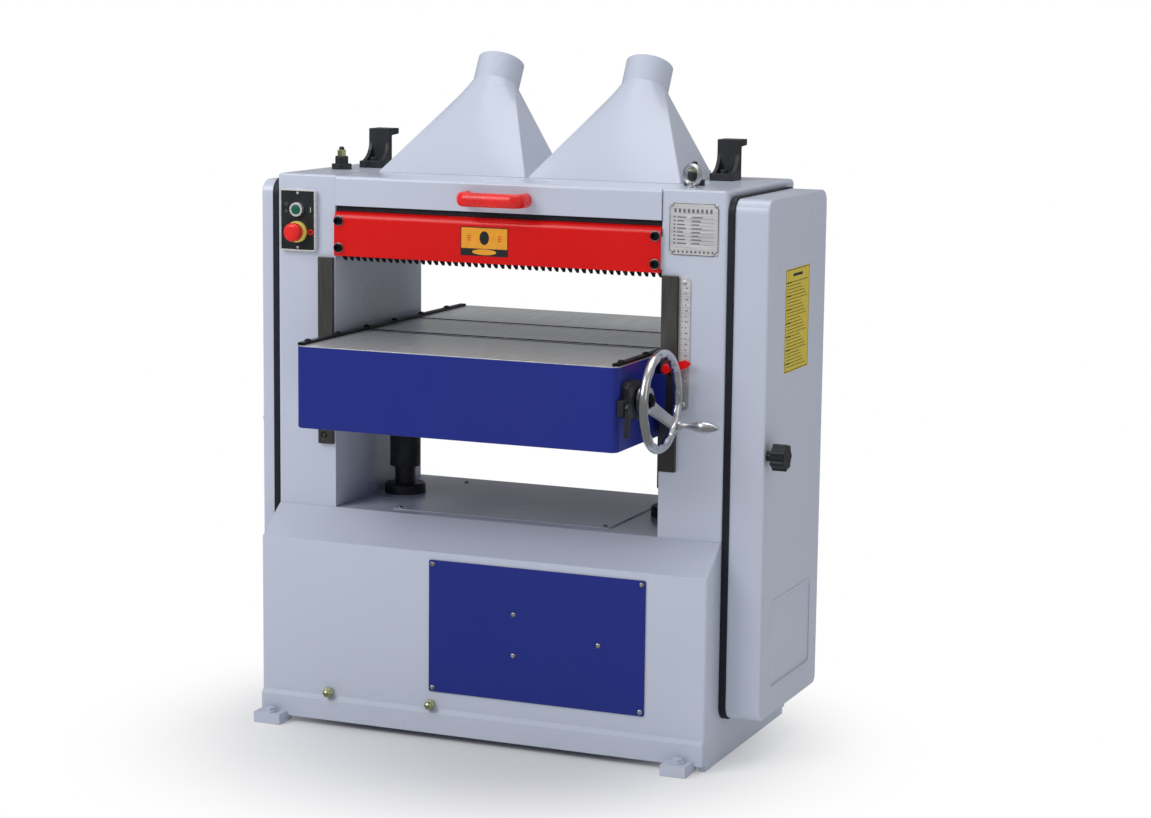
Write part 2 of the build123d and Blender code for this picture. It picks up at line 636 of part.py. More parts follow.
# ---------------------------------------------------------------- hood
HOOD_FRONT = -3.0
with BuildPart() as hood:
    slab((-HOOD_HALF, HOOD_HALF), (HOOD_FRONT, HOOD_BACK), HOOD_Z)
    fillet(hood.edges().filter_by(Axis.X).group_by(Axis.Y)[0].sort_by(Axis.Z)[-1], 6)
    slab((-HOOD_HALF + SHEET, HOOD_HALF - SHEET), (HOOD_FRONT + SHEET, HOOD_BACK + 1),
         (HOOD_Z[0] - 1, HOOD_Z[1] - 3), mode=Mode.SUBTRACT)
    for side in (-1, 1):
        mouth_x = (side * FUNNEL_X - FUNNEL_W / 2 + 14, side * FUNNEL_X + FUNNEL_W / 2 - 14)
        slab(mouth_x, (FUNNEL_Y[0] + 14, FUNNEL_Y[1] - 14), (HOOD_Z[1] - 4, HOOD_Z[1] + 1),
             mode=Mode.SUBTRACT)
        for knuckle_x in (side * 240 - 44, side * 240 + 22.5):
            leaf_x = (knuckle_x, knuckle_x + 21.5)
            slab(leaf_x, (HOOD_BACK - 14, HOOD_PIN[0] - 4), (HOOD_Z[1], HOOD_Z[1] + 3))
            slab(leaf_x, (HOOD_PIN[0] - 6, HOOD_PIN[0] - 2), (HOOD_Z[1], HOOD_PIN[1]))
            rod_x(leaf_x, *HOOD_PIN, 6)
        rod_x((side * 240 - 44, side * 240 + 44), *HOOD_PIN, 3)
hood.part.label = "hood"
export_step(hood.part, "parts/hood.step")

HANDLE_X = (-53.0, 64.0)
HANDLE_Y = -42.0
HANDLE_Z = 1001.0
with BuildPart() as hood_handle:
    with BuildLine() as handle_path:
        FilletPolyline((HANDLE_X[0], HOOD_FRONT, HANDLE_Z), (HANDLE_X[0], HANDLE_Y, HANDLE_Z),
                       (HANDLE_X[1], HANDLE_Y, HANDLE_Z), (HANDLE_X[1], HOOD_FRONT, HANDLE_Z), radius=16)
    with BuildSketch(Plane(origin=handle_path.line @ 0, x_dir=(1, 0, 0), z_dir=handle_path.line % 0)):
        Ellipse(9.5, 12.9)
    sweep()
hood_handle.part.label = "hood_handle"
export_step(hood_handle.part, "parts/hood_handle.step")


def rounded_outline(half_w, half_d, corner):
    """Eight edges of a rounded rectangle, starting beside its +X, -Y corner."""
    w, d, c = half_w - corner, half_d - corner, corner
    spots = ((w, -d, -90), (w, d, 0), (-w, d, 90), (-w, -d, 180))
    Line((half_w, -d), (half_w, d))
    CenterArc((w, d), c, 0, 90)
    Line((w, half_d), (-w, half_d))
    CenterArc((-w, d), c, 90, 90)
    Line((-half_w, d), (-half_w, -d))
    CenterArc((-w, -d), c, 180, 90)
    Line((-w, -half_d), (w, -half_d))
    CenterArc((spots[0][0], spots[0][1]), c, 270, 90)


def split_circle(r, flat_arc):
    """Eight arcs of a circle in the same order, flat_arc degrees facing each side."""
    turn = -flat_arc / 2
    for _ in range(4):
        CenterArc((0, 0), r, turn, flat_arc)
        CenterArc((0, 0), r, turn + flat_arc, 90 - flat_arc)
        turn += 90


def funnel_solid(x, inset):
    """The flared body and neck of a dust outlet, inset all round by a wall."""
    half_w, half_d = FUNNEL_W / 2 - inset, (FUNNEL_Y[1] - FUNNEL_Y[0]) / 2 - inset
    tilt = radians(NECK_TILT)
    neck_plane = Plane(
        origin=(x, *NECK_BASE), x_dir=(1, 0, 0), z_dir=(0, sin(tilt), cos(tilt))
    )
    with BuildPart() as body:
        with BuildSketch(Plane.XY.offset(HOOD_Z[1]).move(Location((x, sum(FUNNEL_Y) / 2, 0)))):
            with BuildLine():
                rounded_outline(half_w, half_d, 5)
            make_face()
        with BuildSketch(neck_plane):
            with BuildLine():
                split_circle(NECK_R - inset, 50)
            make_face()
        loft(ruled=True)
        with BuildSketch(neck_plane):
            Circle(NECK_R - inset)
        extrude(amount=NECK_LONG)
    return body.part


def funnel(x):
    """A hollow sheet dust outlet, rectangular at the hood and round at the top."""
    with BuildPart() as outlet:
        add(funnel_solid(x, 0))
        add(funnel_solid(x, 2), mode=Mode.SUBTRACT)
    return outlet.part


with BuildPart() as funnel_left:
    add(funnel(-FUNNEL_X))
funnel_left.part.label = "funnel_left"
export_step(funnel_left.part, "parts/funnel_left.step")

with BuildPart() as funnel_right:
    add(funnel(FUNNEL_X))
funnel_right.part.label = "funnel_right"
export_step(funnel_right.part, "parts/funnel_right.step")


# ---------------------------------------------------------------- fittings on the column tops
BRACKET_W = 43.0
BRACKET_H = 74.0
BRACKET_T = 13.0


def top_bracket(x, y_plate):
    """A cast hooked bracket: foot to the front, upright, lip to the rear, a low rib at each side."""
    foot_y, foot_z = y_plate - 41, COLUMN_TOP + BRACKET_T
    lip_z = COLUMN_TOP + BRACKET_H
    with BuildPart() as bracket:
        with BuildSketch(Plane.YZ.offset(x - BRACKET_W / 2)):
            Polygon((foot_y, COLUMN_TOP), (y_plate + BRACKET_T, COLUMN_TOP),
                    (y_plate + BRACKET_T, lip_z - BRACKET_T), (y_plate + 43, lip_z - 11),
                    (y_plate + 43, lip_z), (y_plate, lip_z), (y_plate, foot_z), (foot_y, foot_z),
                    align=None)
        extrude(amount=BRACKET_W)
        for rib_x in (x - BRACKET_W / 2, x + BRACKET_W / 2 - 7):
            with BuildSketch(Plane.YZ.offset(rib_x)):
                with BuildLine():
                    ThreePointArc((foot_y + 6, foot_z), (y_plate - 12, foot_z + 10), (y_plate, foot_z + 34))
                    Polyline((y_plate, foot_z + 34), (y_plate + 1, foot_z - 1), (foot_y + 6, foot_z - 1),
                             (foot_y + 6, foot_z))
                make_face()
            extrude(amount=7)
        with Locations((x, y_plate - 22, foot_z)):
            add(cap_screw(7, 7, 4, 6))
    return bracket.part


with BuildPart() as top_brackets:
    add(top_bracket(-365, 259))
    add(top_bracket(347, 280))
top_brackets.part.label = "top_brackets"
export_step(top_brackets.part, "parts/top_brackets.step")


def stepped_post(x, y, steps):
    """Round steps stacked on the column top, each (radius, height)."""
    z = COLUMN_TOP
    for r, h in steps:
        rod_z(x, y, (z, z + h), r)
        z += h


with BuildPart() as pressure_adjusters:  # sprung caps over the feed roller pressure screws
    for x, y in ADJUSTERS:
        stepped_post(x, y, ((19, 10), (12.5, ADJUSTER_H - 10)))
    chamfer(pressure_adjusters.edges().group_by(Axis.Z)[-1], 1.5)
    for x, y in ADJUSTERS:
        stepped_post(x, y, ((ADJUSTER_R, ADJUSTER_H + 18),))
    fillet(pressure_adjusters.edges().group_by(Axis.Z)[-1], 3)
pressure_adjusters.part.label = "pressure_adjusters"
export_step(pressure_adjusters.part, "parts/pressure_adjusters.step")

EYE_AT = (357.0, 61.0)
EYE_Z = 1054.0
EYE_TURN = -17.0
with BuildPart() as eye_bolt:
    rod_z(*EYE_AT, (COLUMN_TOP, COLUMN_TOP + 3), 13)
    rod_z(*EYE_AT, (COLUMN_TOP + 3, COLUMN_TOP + 9), 7)
    with Locations(Location((*EYE_AT, EYE_Z), (0, 0, EYE_TURN)) * Location((0, 0, 0), (90, 0, 0))):
        Torus(16.5, 4.3)
eye_bolt.part.label = "eye_bolt"
export_step(eye_bolt.part, "parts/eye_bolt.step")

# ---------------------------------------------------------------- cutter head and feed rollers
KNIVES = 4
with BuildPart() as cutterhead:
    rod_x((-312, 312), CUTTER_Y, CUTTER_Z, CUTTER_R - 1)
    for i in range(KNIVES):
        turn = 360 / KNIVES * i + 45
        with BuildSketch(Plane.YZ.offset(-313)):
            with Locations(Location((CUTTER_Y, CUTTER_Z, 0), (0, 0, turn))):
                with Locations((CUTTER_R - 6, 5)):
                    Rectangle(18, 12)
        extrude(amount=626, mode=Mode.SUBTRACT)
        with BuildSketch(Plane.YZ.offset(-312)):
            with Locations(Location((CUTTER_Y, CUTTER_Z, 0), (0, 0, turn))):
                with Locations((CUTTER_R - 8, 0.5)):
                    Rectangle(16, 3)
        extrude(amount=624)
    rod_x((-366, BELT_X[1] + 8), CUTTER_Y, CUTTER_Z, 17.5)
    chamfer(cutterhead.edges().group_by(Axis.X)[-1], 1.5)
cutterhead.part.label = "cutterhead"
export_step(cutterhead.part, "parts/cutterhead.step")


def grooved_pulley(y, z, r):
    """A V-belt pulley on the belt side, with a groove for each belt."""
    pitch = (BELT_X[1] - BELT_X[0]) / BELTS
    with BuildPart() as pulley:
        rod_x((BELT_X[0] - 3, BELT_X[1] + 3), y, z, r)
        for i in range(BELTS):
            mid = BELT_X[0] + (i + 0.5) * pitch
            with BuildSketch(Plane(origin=(mid, y, z), x_dir=(1, 0, 0), z_dir=(0, -1, 0))):
                Polygon((-5.5, r + 1), (5.5, r + 1), (3.5, r - 9), (-3.5, r - 9), align=None)
            revolve(axis=Axis((mid, y, z), (1, 0, 0)), mode=Mode.SUBTRACT)
    return pulley.part


with BuildPart() as cutter_pulley:
    add(grooved_pulley(CUTTER_Y, CUTTER_Z, CUTTER_PULLEY_R))
    rod_x((BELT_X[0] - 4, BELT_X[1] + 4), CUTTER_Y, CUTTER_Z, 17.5, mode=Mode.SUBTRACT)
cutter_pulley.part.label = "cutter_pulley"
export_step(cutter_pulley.part, "parts/cutter_pulley.step")


FLUTES = 36


def feed_roller(y, flutes):
    """A feed roller with journals and the sprocket that its chain drives."""
    with BuildPart() as roller:
        rod_x((-311, 311), y, FEED_Z, FEED_R)
        for i in range(flutes):
            turn = 360 / flutes * i
            with BuildSketch(Plane.YZ.offset(-312)):
                with Locations(Location((y, FEED_Z, 0), (0, 0, turn))):
                    with Locations((FEED_R, 0)):
                        Rectangle(3, 2.4)
            extrude(amount=624, mode=Mode.SUBTRACT)
        rod_x((CHAIN_X[0] - 6, 364), y, FEED_Z, 12)
        rod_x(CHAIN_X, y, FEED_Z, SPROCKET_R)
        rod_x((CHAIN_X[1], CHAIN_X[1] + 6), y, FEED_Z, 18)
    return roller.part


with BuildPart() as infeed_roller:
    add(feed_roller(INFEED_Y, FLUTES))
infeed_roller.part.label = "infeed_roller"
export_step(infeed_roller.part, "parts/infeed_roller.step")

with BuildPart() as outfeed_roller:
    add(feed_roller(OUTFEED_Y, 0))
outfeed_roller.part.label = "outfeed_roller"
export_step(outfeed_roller.part, "parts/outfeed_roller.step")

with BuildPart() as head_bearings:  # cutter housings and feed roller blocks inside the columns
    for side in (-1, 1):
        web = side * (COLUMN_IN + WALL)
        rod_x(sorted((web, web + side * 26)), CUTTER_Y, CUTTER_Z, 46)
        rod_x(sorted((web - side * 10, web)), CUTTER_Y, CUTTER_Z, 33.9)
        for y in (INFEED_Y, OUTFEED_Y):
            slab(sorted((web, web + side * 24)), (y - 24, y + 24), (FEED_Z - 28, FEED_Z + 28))
            rod_z(web + side * 12, y, (FEED_Z + 28, COLUMN_TOP - WALL), 7)
            rod_x(sorted((web - side, web + side * 25)), y, FEED_Z, 12 + RUN_FIT, mode=Mode.SUBTRACT)
    rod_x((-COLUMN_OUT, COLUMN_OUT), CUTTER_Y, CUTTER_Z, 17.5 + RUN_FIT, mode=Mode.SUBTRACT)
head_bearings.part.label = "head_bearings"
export_step(head_bearings.part, "parts/head_bearings.step")

with BuildPart() as head_bars:  # chip breaker, hold-down bar, and the rod the fingers hang on
    for bar_y in ((126.5, 133.0), (240.0, 256.0)):
        slab((-COLUMN_IN, COLUMN_IN), bar_y, (CUT_PLANE + 1, CUT_PLANE + 50))
    chamfer(head_bars.edges().filter_by(Axis.X).group_by(Axis.Z)[0], 2)
    rod_x((-COLUMN_IN, COLUMN_IN), *FINGER_PIVOT, 6)
head_bars.part.label = "head_bars"
export_step(head_bars.part, "parts/head_bars.step")

# ---------------------------------------------------------------- feed drive on the chain side
with BuildPart() as feed_gearbox:
    slab((-COLUMN_OUT + 16, -COLUMN_IN - WALL), (GEARBOX_Y - 62, GEARBOX_Y + 62),
         (GEARBOX_Z - 58, GEARBOX_Z + 58))
    fillet(feed_gearbox.edges().filter_by(Axis.X), 14)
    rod_x((-COLUMN_OUT + 6, -COLUMN_OUT + 16), GEARBOX_Y, GEARBOX_Z, 30)
    rod_x((-COLUMN_OUT + 5, -COLUMN_OUT + 60), GEARBOX_Y, GEARBOX_Z, 12 + RUN_FIT, mode=Mode.SUBTRACT)
feed_gearbox.part.label = "feed_gearbox"
export_step(feed_gearbox.part, "parts/feed_gearbox.step")

with BuildPart() as gearbox_sprocket:
    rod_x(CHAIN_X, GEARBOX_Y, GEARBOX_Z, SPROCKET_R)
    rod_x((CHAIN_X[0] - 6, -COLUMN_OUT + 58), GEARBOX_Y, GEARBOX_Z, 12)
gearbox_sprocket.part.label = "gearbox_sprocket"
export_step(gearbox_sprocket.part, "parts/gearbox_sprocket.step")

with BuildPart() as feed_chain:
    chain_places = ((INFEED_Y, FEED_Z), (OUTFEED_Y, FEED_Z), (GEARBOX_Y, GEARBOX_Z))
    chain_loop = loop_band(chain_places, [SPROCKET_R + MESH_GAP] * 3, 7)
    chain_plane = Plane(origin=(CHAIN_X[0], 0, 0), x_dir=(0, 1, 0), z_dir=(1, 0, 0))
    add(scale(chain_loop, by=(1, 1, CHAIN_X[1] - CHAIN_X[0]), mode=Mode.PRIVATE).moved(
        chain_plane.location))
feed_chain.part.label = "feed_chain"
export_step(feed_chain.part, "parts/feed_chain.step")

# ---------------------------------------------------------------- motor and belts

with BuildPart() as motor:
    rod_x((150, 400), MOTOR_Y, MOTOR_Z, MOTOR_R)
    for i in range(24):
        turn = 15 * i
        with BuildSketch(Plane.YZ.offset(165)):
            with Locations(Location((MOTOR_Y, MOTOR_Z, 0), (0, 0, turn))):
                with Locations((MOTOR_R, 0)):
                    Rectangle(10, 6)
        extrude(amount=200, mode=Mode.SUBTRACT)
    rod_x((400, 412), MOTOR_Y, MOTOR_Z, 40)
    slab((200, 340), (MOTOR_Y - 70, MOTOR_Y + 70), (SHELF_Z, 130))
    slab((210, 330), (MOTOR_Y - 50, MOTOR_Y + 50), (130, MOTOR_Z - 40))
    rod_x((350, 413), MOTOR_Y, MOTOR_Z, 14 + RUN_FIT, mode=Mode.SUBTRACT)
motor.part.label = "motor"
export_step(motor.part, "parts/motor.step")

with BuildPart() as motor_pulley:
    add(grooved_pulley(MOTOR_Y, MOTOR_Z, MOTOR_PULLEY_R))
    rod_x((352, BELT_X[1] + 8), MOTOR_Y, MOTOR_Z, 14)
motor_pulley.part.label = "motor_pulley"
export_step(motor_pulley.part, "parts/motor_pulley.step")

with BuildPart() as drive_belts:
    belt_loop = loop_band(
        ((MOTOR_Y, MOTOR_Z), (CUTTER_Y, CUTTER_Z)),
        (MOTOR_PULLEY_R - 9 + MESH_GAP, CUTTER_PULLEY_R - 9 + MESH_GAP), 8)
    belt_pitch = (BELT_X[1] - BELT_X[0]) / BELTS
    for i in range(BELTS):
        belt_plane = Plane(origin=(BELT_X[0] + (i + 0.5) * belt_pitch - 3, 0, 0), x_dir=(0, 1, 0),
                           z_dir=(1, 0, 0))
        add(scale(belt_loop, by=(1, 1, 6), mode=Mode.PRIVATE).moved(belt_plane.location))
drive_belts.part.label = "drive_belts"
export_step(drive_belts.part, "parts/drive_belts.step")

# ---------------------------------------------------------------- table
SHOE_X = (344.0, 359.0)
SHOE_Y = (-20.0, STRIP_Y - 0.5)
SHOE_Z = (631.0, 704.0)
NUT_TUBE_R = 29.5
RIB_X = (-150.0, 150.0)
RIB_Y = 20.0
RIB_T = 10.0
with BuildPart() as table:
    slab((-TABLE_HALF, TABLE_HALF), (TABLE_FRONT, TABLE_BACK), (TABLE_LOW, TABLE_TOP))
    fillet(table.edges().filter_by(Axis.Z), 14)
    fillet(table.edges().group_by(Axis.Z)[0], 3)
    slab((-TABLE_HALF + WALL, TABLE_HALF - WALL), (TABLE_FRONT + WALL, TABLE_BACK - WALL),
         (TABLE_LOW - 1, TABLE_CEILING), mode=Mode.SUBTRACT)
    for rib_x in RIB_X:
        slab((rib_x - RIB_T / 2, rib_x + RIB_T / 2), (TABLE_FRONT + 1, TABLE_BACK - 1),
             (TABLE_LOW + 20, TABLE_CEILING + 1))
    slab((-TABLE_HALF + 1, TABLE_HALF - 1), (RIB_Y - RIB_T / 2, RIB_Y + RIB_T / 2),
         (TABLE_LOW + 20, TABLE_CEILING + 1))
    for bed_y in (INFEED_Y, OUTFEED_Y):
        rod_x((-TABLE_HALF + WALL, TABLE_HALF - WALL), bed_y, BED_Z, BED_R + 4, mode=Mode.SUBTRACT)
        rod_x((-TABLE_HALF + 3, TABLE_HALF - 3), bed_y, BED_Z, 10 + RUN_FIT, mode=Mode.SUBTRACT)
    rod_x((-SCREW_X, SCREW_X), SCREW_Y, LIFT_Z, SHAFT_R + RUN_FIT, mode=Mode.SUBTRACT)
    rod_y(LONG_X, (WHEEL_Y + 1, SCREW_Y), LIFT_Z, SHAFT_R + RUN_FIT, mode=Mode.SUBTRACT)
    rod_x((TABLE_HALF - WALL - 1, TABLE_HALF + 1), WHEEL_Y, LIFT_Z, 12, mode=Mode.SUBTRACT)
    for side in (-1, 1):
        rod_z(side * SCREW_X, SCREW_Y, (TABLE_CEILING - 1, TABLE_TOP - 7), SHAFT_R + RUN_FIT,
              mode=Mode.SUBTRACT)
        rod_z(side * SCREW_X, SCREW_Y, (TABLE_LOW - 1, LIFT_Z - 30), NUT_TUBE_R + 2, mode=Mode.SUBTRACT)
        slab(sorted((side * (TABLE_HALF - 1), side * SHOE_X[0])), SHOE_Y, SHOE_Z)  # lug for the shoe
table.part.label = "table"
export_step(table.part, "parts/table.step")

RAIL_Y = (-170.0, 544.0)
RAIL_X = (301.0, 313.0)
RAIL_H = 5.0
RAIL_SCREW_X = 307.0
RAIL_SCREW_Y = -143.0
RAIL_PITCH = 118.0
with BuildPart() as table_rails:
    for side in (-1, 1):
        rail_x = sorted((side * RAIL_X[0], side * RAIL_X[1]))
        slab(rail_x, (RAIL_Y[0], TABLE_BACK - 14), (TABLE_TOP, TABLE_TOP + RAIL_H))
        for i in range(6):
            with Locations((side * RAIL_SCREW_X, RAIL_SCREW_Y + i * RAIL_PITCH, TABLE_TOP + RAIL_H)):
                add(dome_screw(6.5, 4))
table_rails.part.label = "table_rails"
export_step(table_rails.part, "parts/table_rails.step")


def bed_roller(y):
    """A plain roller set a hair proud of the table top."""
    with BuildPart() as roller:
        rod_x((-298, 298), y, BED_Z, BED_R)
        chamfer(roller.edges(), 1)
        rod_x((-310, 310), y, BED_Z, 10)
    return roller.part


with BuildPart() as bed_roller_front:
    add(bed_roller(INFEED_Y))
bed_roller_front.part.label = "bed_roller_front"
export_step(bed_roller_front.part, "parts/bed_roller_front.step")

with BuildPart() as bed_roller_rear:
    add(bed_roller(OUTFEED_Y))
bed_roller_rear.part.label = "bed_roller_rear"
export_step(bed_roller_rear.part, "parts/bed_roller_rear.step")

with BuildPart() as guide_shoes:  # adjustable blocks that slide on the ground strips
    for side in (-1, 1):
        slab(sorted((side * SHOE_X[0], side * SHOE_X[1])), SHOE_Y, SHOE_Z)
    fillet(guide_shoes.edges().filter_by(Axis.Y), 2)
guide_shoes.part.label = "guide_shoes"
export_step(guide_shoes.part, "parts/guide_shoes.step")

POINTER_Y = -13.0
POINTER_KNOB = (348.0, SHOE_Z[1] + 12.5)
with BuildPart() as pointer:  # red arrow above the shoe, reaching the scale, and its clamp knob
    with BuildSketch(Plane.XZ.offset(-POINTER_Y)):
        Polygon((338, SHOE_Z[1]), (358, SHOE_Z[1] + 6), (381, SHOE_Z[1] + 14), (389, SHOE_Z[1] + 22),
                (377, SHOE_Z[1] + 28), (356, SHOE_Z[1] + 21), (338, SHOE_Z[1] + 20), align=None)
    extrude(amount=2)
    slab((338, SHOE_X[0]), (SHOE_Y[0] + 1, POINTER_Y), (SHOE_Z[1], SHOE_Z[1] + 2))
    rod_y(POINTER_KNOB[0], (POINTER_Y - 9, POINTER_Y), POINTER_KNOB[1], 4)
    rod_y(POINTER_KNOB[0], (POINTER_Y - 23, POINTER_Y - 9), POINTER_KNOB[1], 8)
    fillet(pointer.edges().group_by(Axis.Y)[0], 1.5)
pointer.part.label = "pointer"
export_step(pointer.part, "parts/pointer.step")

# ---------------------------------------------------------------- lifting gear
BEARING_T = 14.0
LOCK_Y = WHEEL_Y - 61
LOCK_Z = LIFT_Z - 7
with BuildPart() as wheel_bearing:  # bearing housing with the clamp that locks the table's height
    slab((TABLE_HALF, TABLE_HALF + BEARING_T), (WHEEL_Y - 49, WHEEL_Y + 6), (LIFT_Z - 28, LIFT_Z + 36))
    fillet(wheel_bearing.edges().filter_by(Axis.X), 12)
    rod_x((TABLE_HALF, TABLE_HALF + BEARING_T), WHEEL_Y, LIFT_Z, 34)
    slab((TABLE_HALF, TABLE_HALF + BEARING_T - 2), (WHEEL_Y - 68, WHEEL_Y - 40), (LOCK_Z - 14, LOCK_Z + 14))
    rod_x((TABLE_HALF - 1, TABLE_HALF + BEARING_T + 1), WHEEL_Y, LIFT_Z, 10 + RUN_FIT, mode=Mode.SUBTRACT)
    rod_x((TABLE_HALF + 3, TABLE_HALF + BEARING_T), LOCK_Y, LOCK_Z, 5 + RUN_FIT, mode=Mode.SUBTRACT)
wheel_bearing.part.label = "wheel_bearing"
export_step(wheel_bearing.part, "parts/wheel_bearing.step")

LEVER_X = (TABLE_HALF + BEARING_T + 1, TABLE_HALF + BEARING_T + 7)
with BuildPart() as lock_lever:
    rod_x((TABLE_HALF + 4, LEVER_X[0]), LOCK_Y, LOCK_Z, 5)
    rod_x(LEVER_X, LOCK_Y, LOCK_Z, 9)
    with BuildSketch(Plane.YZ.offset(LEVER_X[0])):
        Polygon((LOCK_Y - 8, LOCK_Z), (LOCK_Y + 8, LOCK_Z), (LOCK_Y - 3, LOCK_Z - 52),
                (LOCK_Y - 13, LOCK_Z - 50), align=None)
    extrude(amount=LEVER_X[1] - LEVER_X[0])
    fillet(lock_lever.edges().filter_by(Axis.X).group_by(Axis.Z)[0], 3)
lock_lever.part.label = "lock_lever"
export_step(lock_lever.part, "parts/lock_lever.step")

SPOKE_TURN = 322.5  # the crank spoke's direction, degrees from +Y towards +Z
GRIP_TURN = radians(SPOKE_TURN)
GRIP_AT = (WHEEL_Y + WHEEL_R * cos(GRIP_TURN), LIFT_Z + WHEEL_R * sin(GRIP_TURN))
GRIP_PIN = (3.0, 46.0)  # radius and length from the rim's middle
GRIP_LONG = 86.5
HUB_X = (TABLE_HALF + 16, TABLE_HALF + 34)
with BuildPart() as handwheel:
    with Locations(Location((WHEEL_X, WHEEL_Y, LIFT_Z), (0, 90, 0))):
        Torus(WHEEL_R, RIM_R)
    rod_x(HUB_X, WHEEL_Y, LIFT_Z, 24)
    for i in range(SPOKES):
        turn = radians(SPOKE_TURN + i * 360 / SPOKES)
        out = Vector(0, cos(turn), sin(turn))
        start = Vector(sum(HUB_X) / 2, WHEEL_Y, LIFT_Z) + out * 15
        end = Vector(WHEEL_X, WHEEL_Y, LIFT_Z) + out * (WHEEL_R - 1)
        along = Plane(origin=start, x_dir=Vector(0, -sin(turn), cos(turn)), z_dir=end - start)
        with BuildSketch(along):
            Rectangle(24, 8)
        with BuildSketch(along.offset((end - start).length)):
            Rectangle(20, 8)
        loft()
    rod_x((LONG_X + CONE_OUT, HUB_X[1]), WHEEL_Y, LIFT_Z, 10)
    with BuildSketch(Plane(origin=(LONG_X, WHEEL_Y, LIFT_Z), x_dir=(1, 0, 0), z_dir=(0, -1, 0))):
        Polygon((CONE_IN, 0), (CONE_IN, CONE_IN - MESH_GAP), (CONE_OUT, CONE_OUT - MESH_GAP),
                (CONE_OUT + 4, CONE_OUT - 6), (CONE_OUT + 4, 0), align=None)
    revolve(axis=Axis((LONG_X, WHEEL_Y, LIFT_Z), (1, 0, 0)))
    rod_x((WHEEL_X, WHEEL_X + GRIP_PIN[1]), *GRIP_AT, GRIP_PIN[0])
handwheel.part.label = "handwheel"
export_step(handwheel.part, "parts/handwheel.step")

with BuildPart() as wheel_nut:
    with BuildSketch(Plane.YZ.offset(HUB_X[1])):
        with Locations((WHEEL_Y, LIFT_Z)):
            Circle(14)
    extrude(amount=1.5)
    with BuildSketch(Plane.YZ.offset(HUB_X[1] + 1.5)):
        with Locations((WHEEL_Y, LIFT_Z)):
            RegularPolygon(11.5, 6)
    extrude(amount=5.5)
    rod_x((HUB_X[1] + 7, HUB_X[1] + 8.5), WHEEL_Y, LIFT_Z, 6)
wheel_nut.part.label = "wheel_nut"
export_step(wheel_nut.part, "parts/wheel_nut.step")

with BuildPart() as wheel_grip:  # revolving tapered handle, on its own pin
    grip_plane = Plane(origin=(WHEEL_X, *GRIP_AT), x_dir=(1, 0, 0), z_dir=(0, -1, 0))
    with BuildSketch(grip_plane):
        with BuildLine():
            Polyline((GRIP_LONG, 0), (RIM_R + 0.8, 0), (RIM_R + 0.8, 8), (RIM_R + 6, 8),
                     (RIM_R + 9, 5), (RIM_R + 14, 5))
            Spline((RIM_R + 14, 5), (RIM_R + 46, 11.3), (GRIP_LONG, 0), tangents=((1, 0.05), (1, -0.9)))
        make_face()
    revolve(axis=Axis((WHEEL_X, *GRIP_AT), (1, 0, 0)))
    rod_x((WHEEL_X, WHEEL_X + GRIP_PIN[1] + 1), *GRIP_AT, GRIP_PIN[0] + RUN_FIT, mode=Mode.SUBTRACT)
wheel_grip.part.label = "wheel_grip"
export_step(wheel_grip.part, "parts/wheel_grip.step")


def cone_profile(sign):
    """Half section of a bevel cone along a shaft; sign is the side of the axes' crossing it is on."""
    return (
        (sign * CONE_IN, 0),
        (sign * CONE_IN, CONE_IN - MESH_GAP),
        (sign * CONE_OUT, CONE_OUT - MESH_GAP),
        (sign * (CONE_OUT + 4), CONE_OUT - 6),
        (sign * (CONE_OUT + 4), 0),
    )


with BuildPart() as long_shaft:
    rod_y(LONG_X, (WHEEL_Y + CONE_OUT, SCREW_Y - CONE_OUT), LIFT_Z, SHAFT_R)
    for cross_y, sign in ((WHEEL_Y, 1), (SCREW_Y, -1)):
        with BuildSketch(Plane(origin=(LONG_X, cross_y, LIFT_Z), x_dir=(0, 1, 0), z_dir=(1, 0, 0))):
            Polygon(*cone_profile(sign), align=None)
        revolve(axis=Axis((LONG_X, cross_y, LIFT_Z), (0, 1, 0)))
long_shaft.part.label = "long_shaft"
export_step(long_shaft.part, "parts/long_shaft.step")

with BuildPart() as cross_shaft:
    rod_x((-SCREW_X + CONE_OUT, SCREW_X - CONE_OUT), SCREW_Y, LIFT_Z, SHAFT_R)
    for cross_x, sign in ((LONG_X, 1), (-SCREW_X, 1), (SCREW_X, -1)):
        with BuildSketch(Plane(origin=(cross_x, SCREW_Y, LIFT_Z), x_dir=(1, 0, 0), z_dir=(0, -1, 0))):
            Polygon(*cone_profile(sign), align=None)
        revolve(axis=Axis((cross_x, SCREW_Y, LIFT_Z), (1, 0, 0)))
cross_shaft.part.label = "cross_shaft"
export_step(cross_shaft.part, "parts/cross_shaft.step")

SCREW_LOW = 250.0


def elevating_screw(x):
    """A lifting screw with the bevel cone that turns it; its journal runs in the table top."""
    with BuildPart() as screw:
        rod_z(x, SCREW_Y, (SCREW_LOW, LIFT_Z - CONE_OUT), SCREW_R)
        with BuildSketch(Plane(origin=(x, SCREW_Y, LIFT_Z), x_dir=(1, 0, 0), z_dir=(0, -1, 0))):
            Polygon((0, -CONE_IN), (CONE_IN - MESH_GAP, -CONE_IN), (CONE_OUT - MESH_GAP, -CONE_OUT),
                    (CONE_OUT - 6, -CONE_OUT - 4), (0, -CONE_OUT - 4), align=None)
        revolve(axis=Axis((x, SCREW_Y, LIFT_Z), (0, 0, 1)))
        rod_z(x, SCREW_Y, (LIFT_Z - CONE_IN, TABLE_TOP - 8), SHAFT_R)
    return screw.part


with BuildPart() as screw_left:
    add(elevating_screw(-SCREW_X))
screw_left.part.label = "screw_left"
export_step(screw_left.part, "parts/screw_left.step")

with BuildPart() as screw_right:
    add(elevating_screw(SCREW_X))
screw_right.part.label = "screw_right"
export_step(screw_right.part, "parts/screw_right.step")


